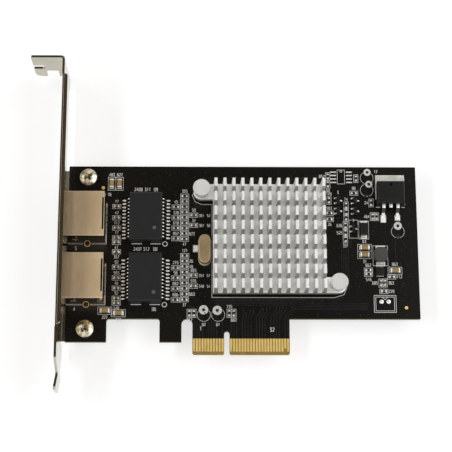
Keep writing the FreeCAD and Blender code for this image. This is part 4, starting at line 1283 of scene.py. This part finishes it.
for step in (screw_places, port_joints, empty_places, regulator_lands, terminal_lands, finger_tracks, lead_tracks,
             power_tracks, port_legend, sink_legend, package_legend, capacitor_legend, header_legend, polarity_bar,
             plain_numbers, rear_legend, chip_legend, via_field, module_dots, regulator_pit):
    step()
for name, batch, finish, slot, smooth in (
        ("legend_front", legend, "ink", "solder_mask", None), ("legend_rear", legend_back, "ink", "solder_mask", None),
        ("copper_tracks", copper, "masked_copper", "solder_mask", None),
        ("hole_plugs_painted_shade", hole_shade_plugs, "masked_copper", "solder_mask", 40),
        ("tented_vias", vias, "masked_copper", "solder_mask", None),
        ("gold_lands", gold_batch, "gold", "gold", None), ("tinned_lands", land_batch, "tin", "tin", None),
        ("solder_fillets", solder_batch, "tin", "tin", 50), ("solder_cones", joints_back, "tin", "tin", 50)):
    piece(name, batch, finish, slot, (), smooth)


# ---- studio ----
def seen_white(n, strength):
    """Adds white to what camera, mirror and glass rays see of a backdrop."""
    ray = n.node("LightPath").outputs
    seen = n.math("MAXIMUM", ray["Is Camera Ray"], ray["Is Glossy Ray"])
    return n.math("MULTIPLY", n.math("MAXIMUM", seen, ray["Is Transmission Ray"]), strength)


def plane(name, size_x, size_y, at, mat):
    mesh = bpy.data.meshes.new(name)
    x, y = size_x / 2, size_y / 2
    mesh.from_pydata([(-x, -y, 0), (x, -y, 0), (x, y, 0), (-x, y, 0)], [], [(0, 1, 2, 3)])
    mesh.materials.append(mat)
    obj = add(name, mesh)
    obj.location = at
    return obj


def backdrop(name):
    """A material without nodes, and what adds nodes to it."""
    mat = bpy.data.materials.new(name)
    mat.use_nodes = True
    mat.node_tree.nodes.clear()
    return mat, Nodes(mat.node_tree)


def floor_material():
    mat, n = backdrop("studio_floor")
    base = n.node("BsdfDiffuse", {"Color": (0.60, 0.60, 0.60)})
    glow = n.node("Emission", {"Strength": seen_white(n, 0.65)})
    both = n.node("AddShader", {0: base.outputs[0], 1: glow.outputs[0]})
    n.node("OutputMaterial", {"Surface": both.outputs[0]})
    return mat


def card_material(name, colour):
    mat, n = backdrop(name)
    glow = n.node("Emission", {"Color": colour, "Strength": 1.0})
    n.node("OutputMaterial", {"Surface": glow.outputs[0]})
    return mat


def area_lamp(name, at, look, size_x, size_y, power):
    data = give(bpy.data.lights.new(name, "AREA"), shape="RECTANGLE", size=size_x, size_y=size_y, energy=power)
    turn = (Vector(look) - Vector(at)).to_track_quat("-Z", "Y")
    give(add(name, data), location=at, rotation_mode="QUATERNION", rotation_quaternion=turn)


def studio():
    """White surroundings, a floor under the card, two dark cards and two lamps; sizes in metres."""
    scene = bpy.context.scene
    scene.world = bpy.data.worlds.new("studio_world")
    scene.world.use_nodes = True
    n = Nodes(scene.world.node_tree)
    back = n.tree.nodes["Background"]
    n.feed(back.inputs["Color"], (1, 1, 1))
    n.feed(back.inputs["Strength"], n.math("ADD", seen_white(n, 0.68), 0.32))
    lo, hi = cad_box
    mid = (lo + hi) / 2
    plane("studio_floor_plane", 6, 6, (mid.x, mid.y, lo.z), floor_material())
    dark = card_material("card_olive", (0.075, 0.062, 0.038))
    plane("studio_overhead_card", 1.75, 0.78, (mid.x - 0.50, mid.y + 0.38, 1.25), dark)
    side = plane("studio_left_card", 0.78, 1.25, (mid.x - 1.30, mid.y + 0.38, 0.63), dark)
    side.rotation_euler = (math.radians(90), 0, math.radians(90))
    side.visible_camera = False
    target = (mid.x, mid.y, 0)
    area_lamp("lamp_left", (mid.x - 0.72, mid.y + 0.05, 0.72), target, 1.1, 0.16, 3.5)
    area_lamp("lamp_right", (mid.x + 0.72, mid.y + 0.05, 0.72), target, 1.1, 0.55, 3.6)
    scene.view_settings.view_transform = "Standard"


def camera():
    data = give(bpy.data.cameras.new("studio_camera"), sensor_width=36.0, lens=114.37, clip_start=0.01, clip_end=20)
    bpy.context.scene.camera = give(add("studio_camera", data), rotation_mode="ZYX",
                                    location=(-0.006675, -0.08877, 0.49645),
                                    rotation_euler=(0.2663, -0.0125, 0.0023))


studio()
camera()
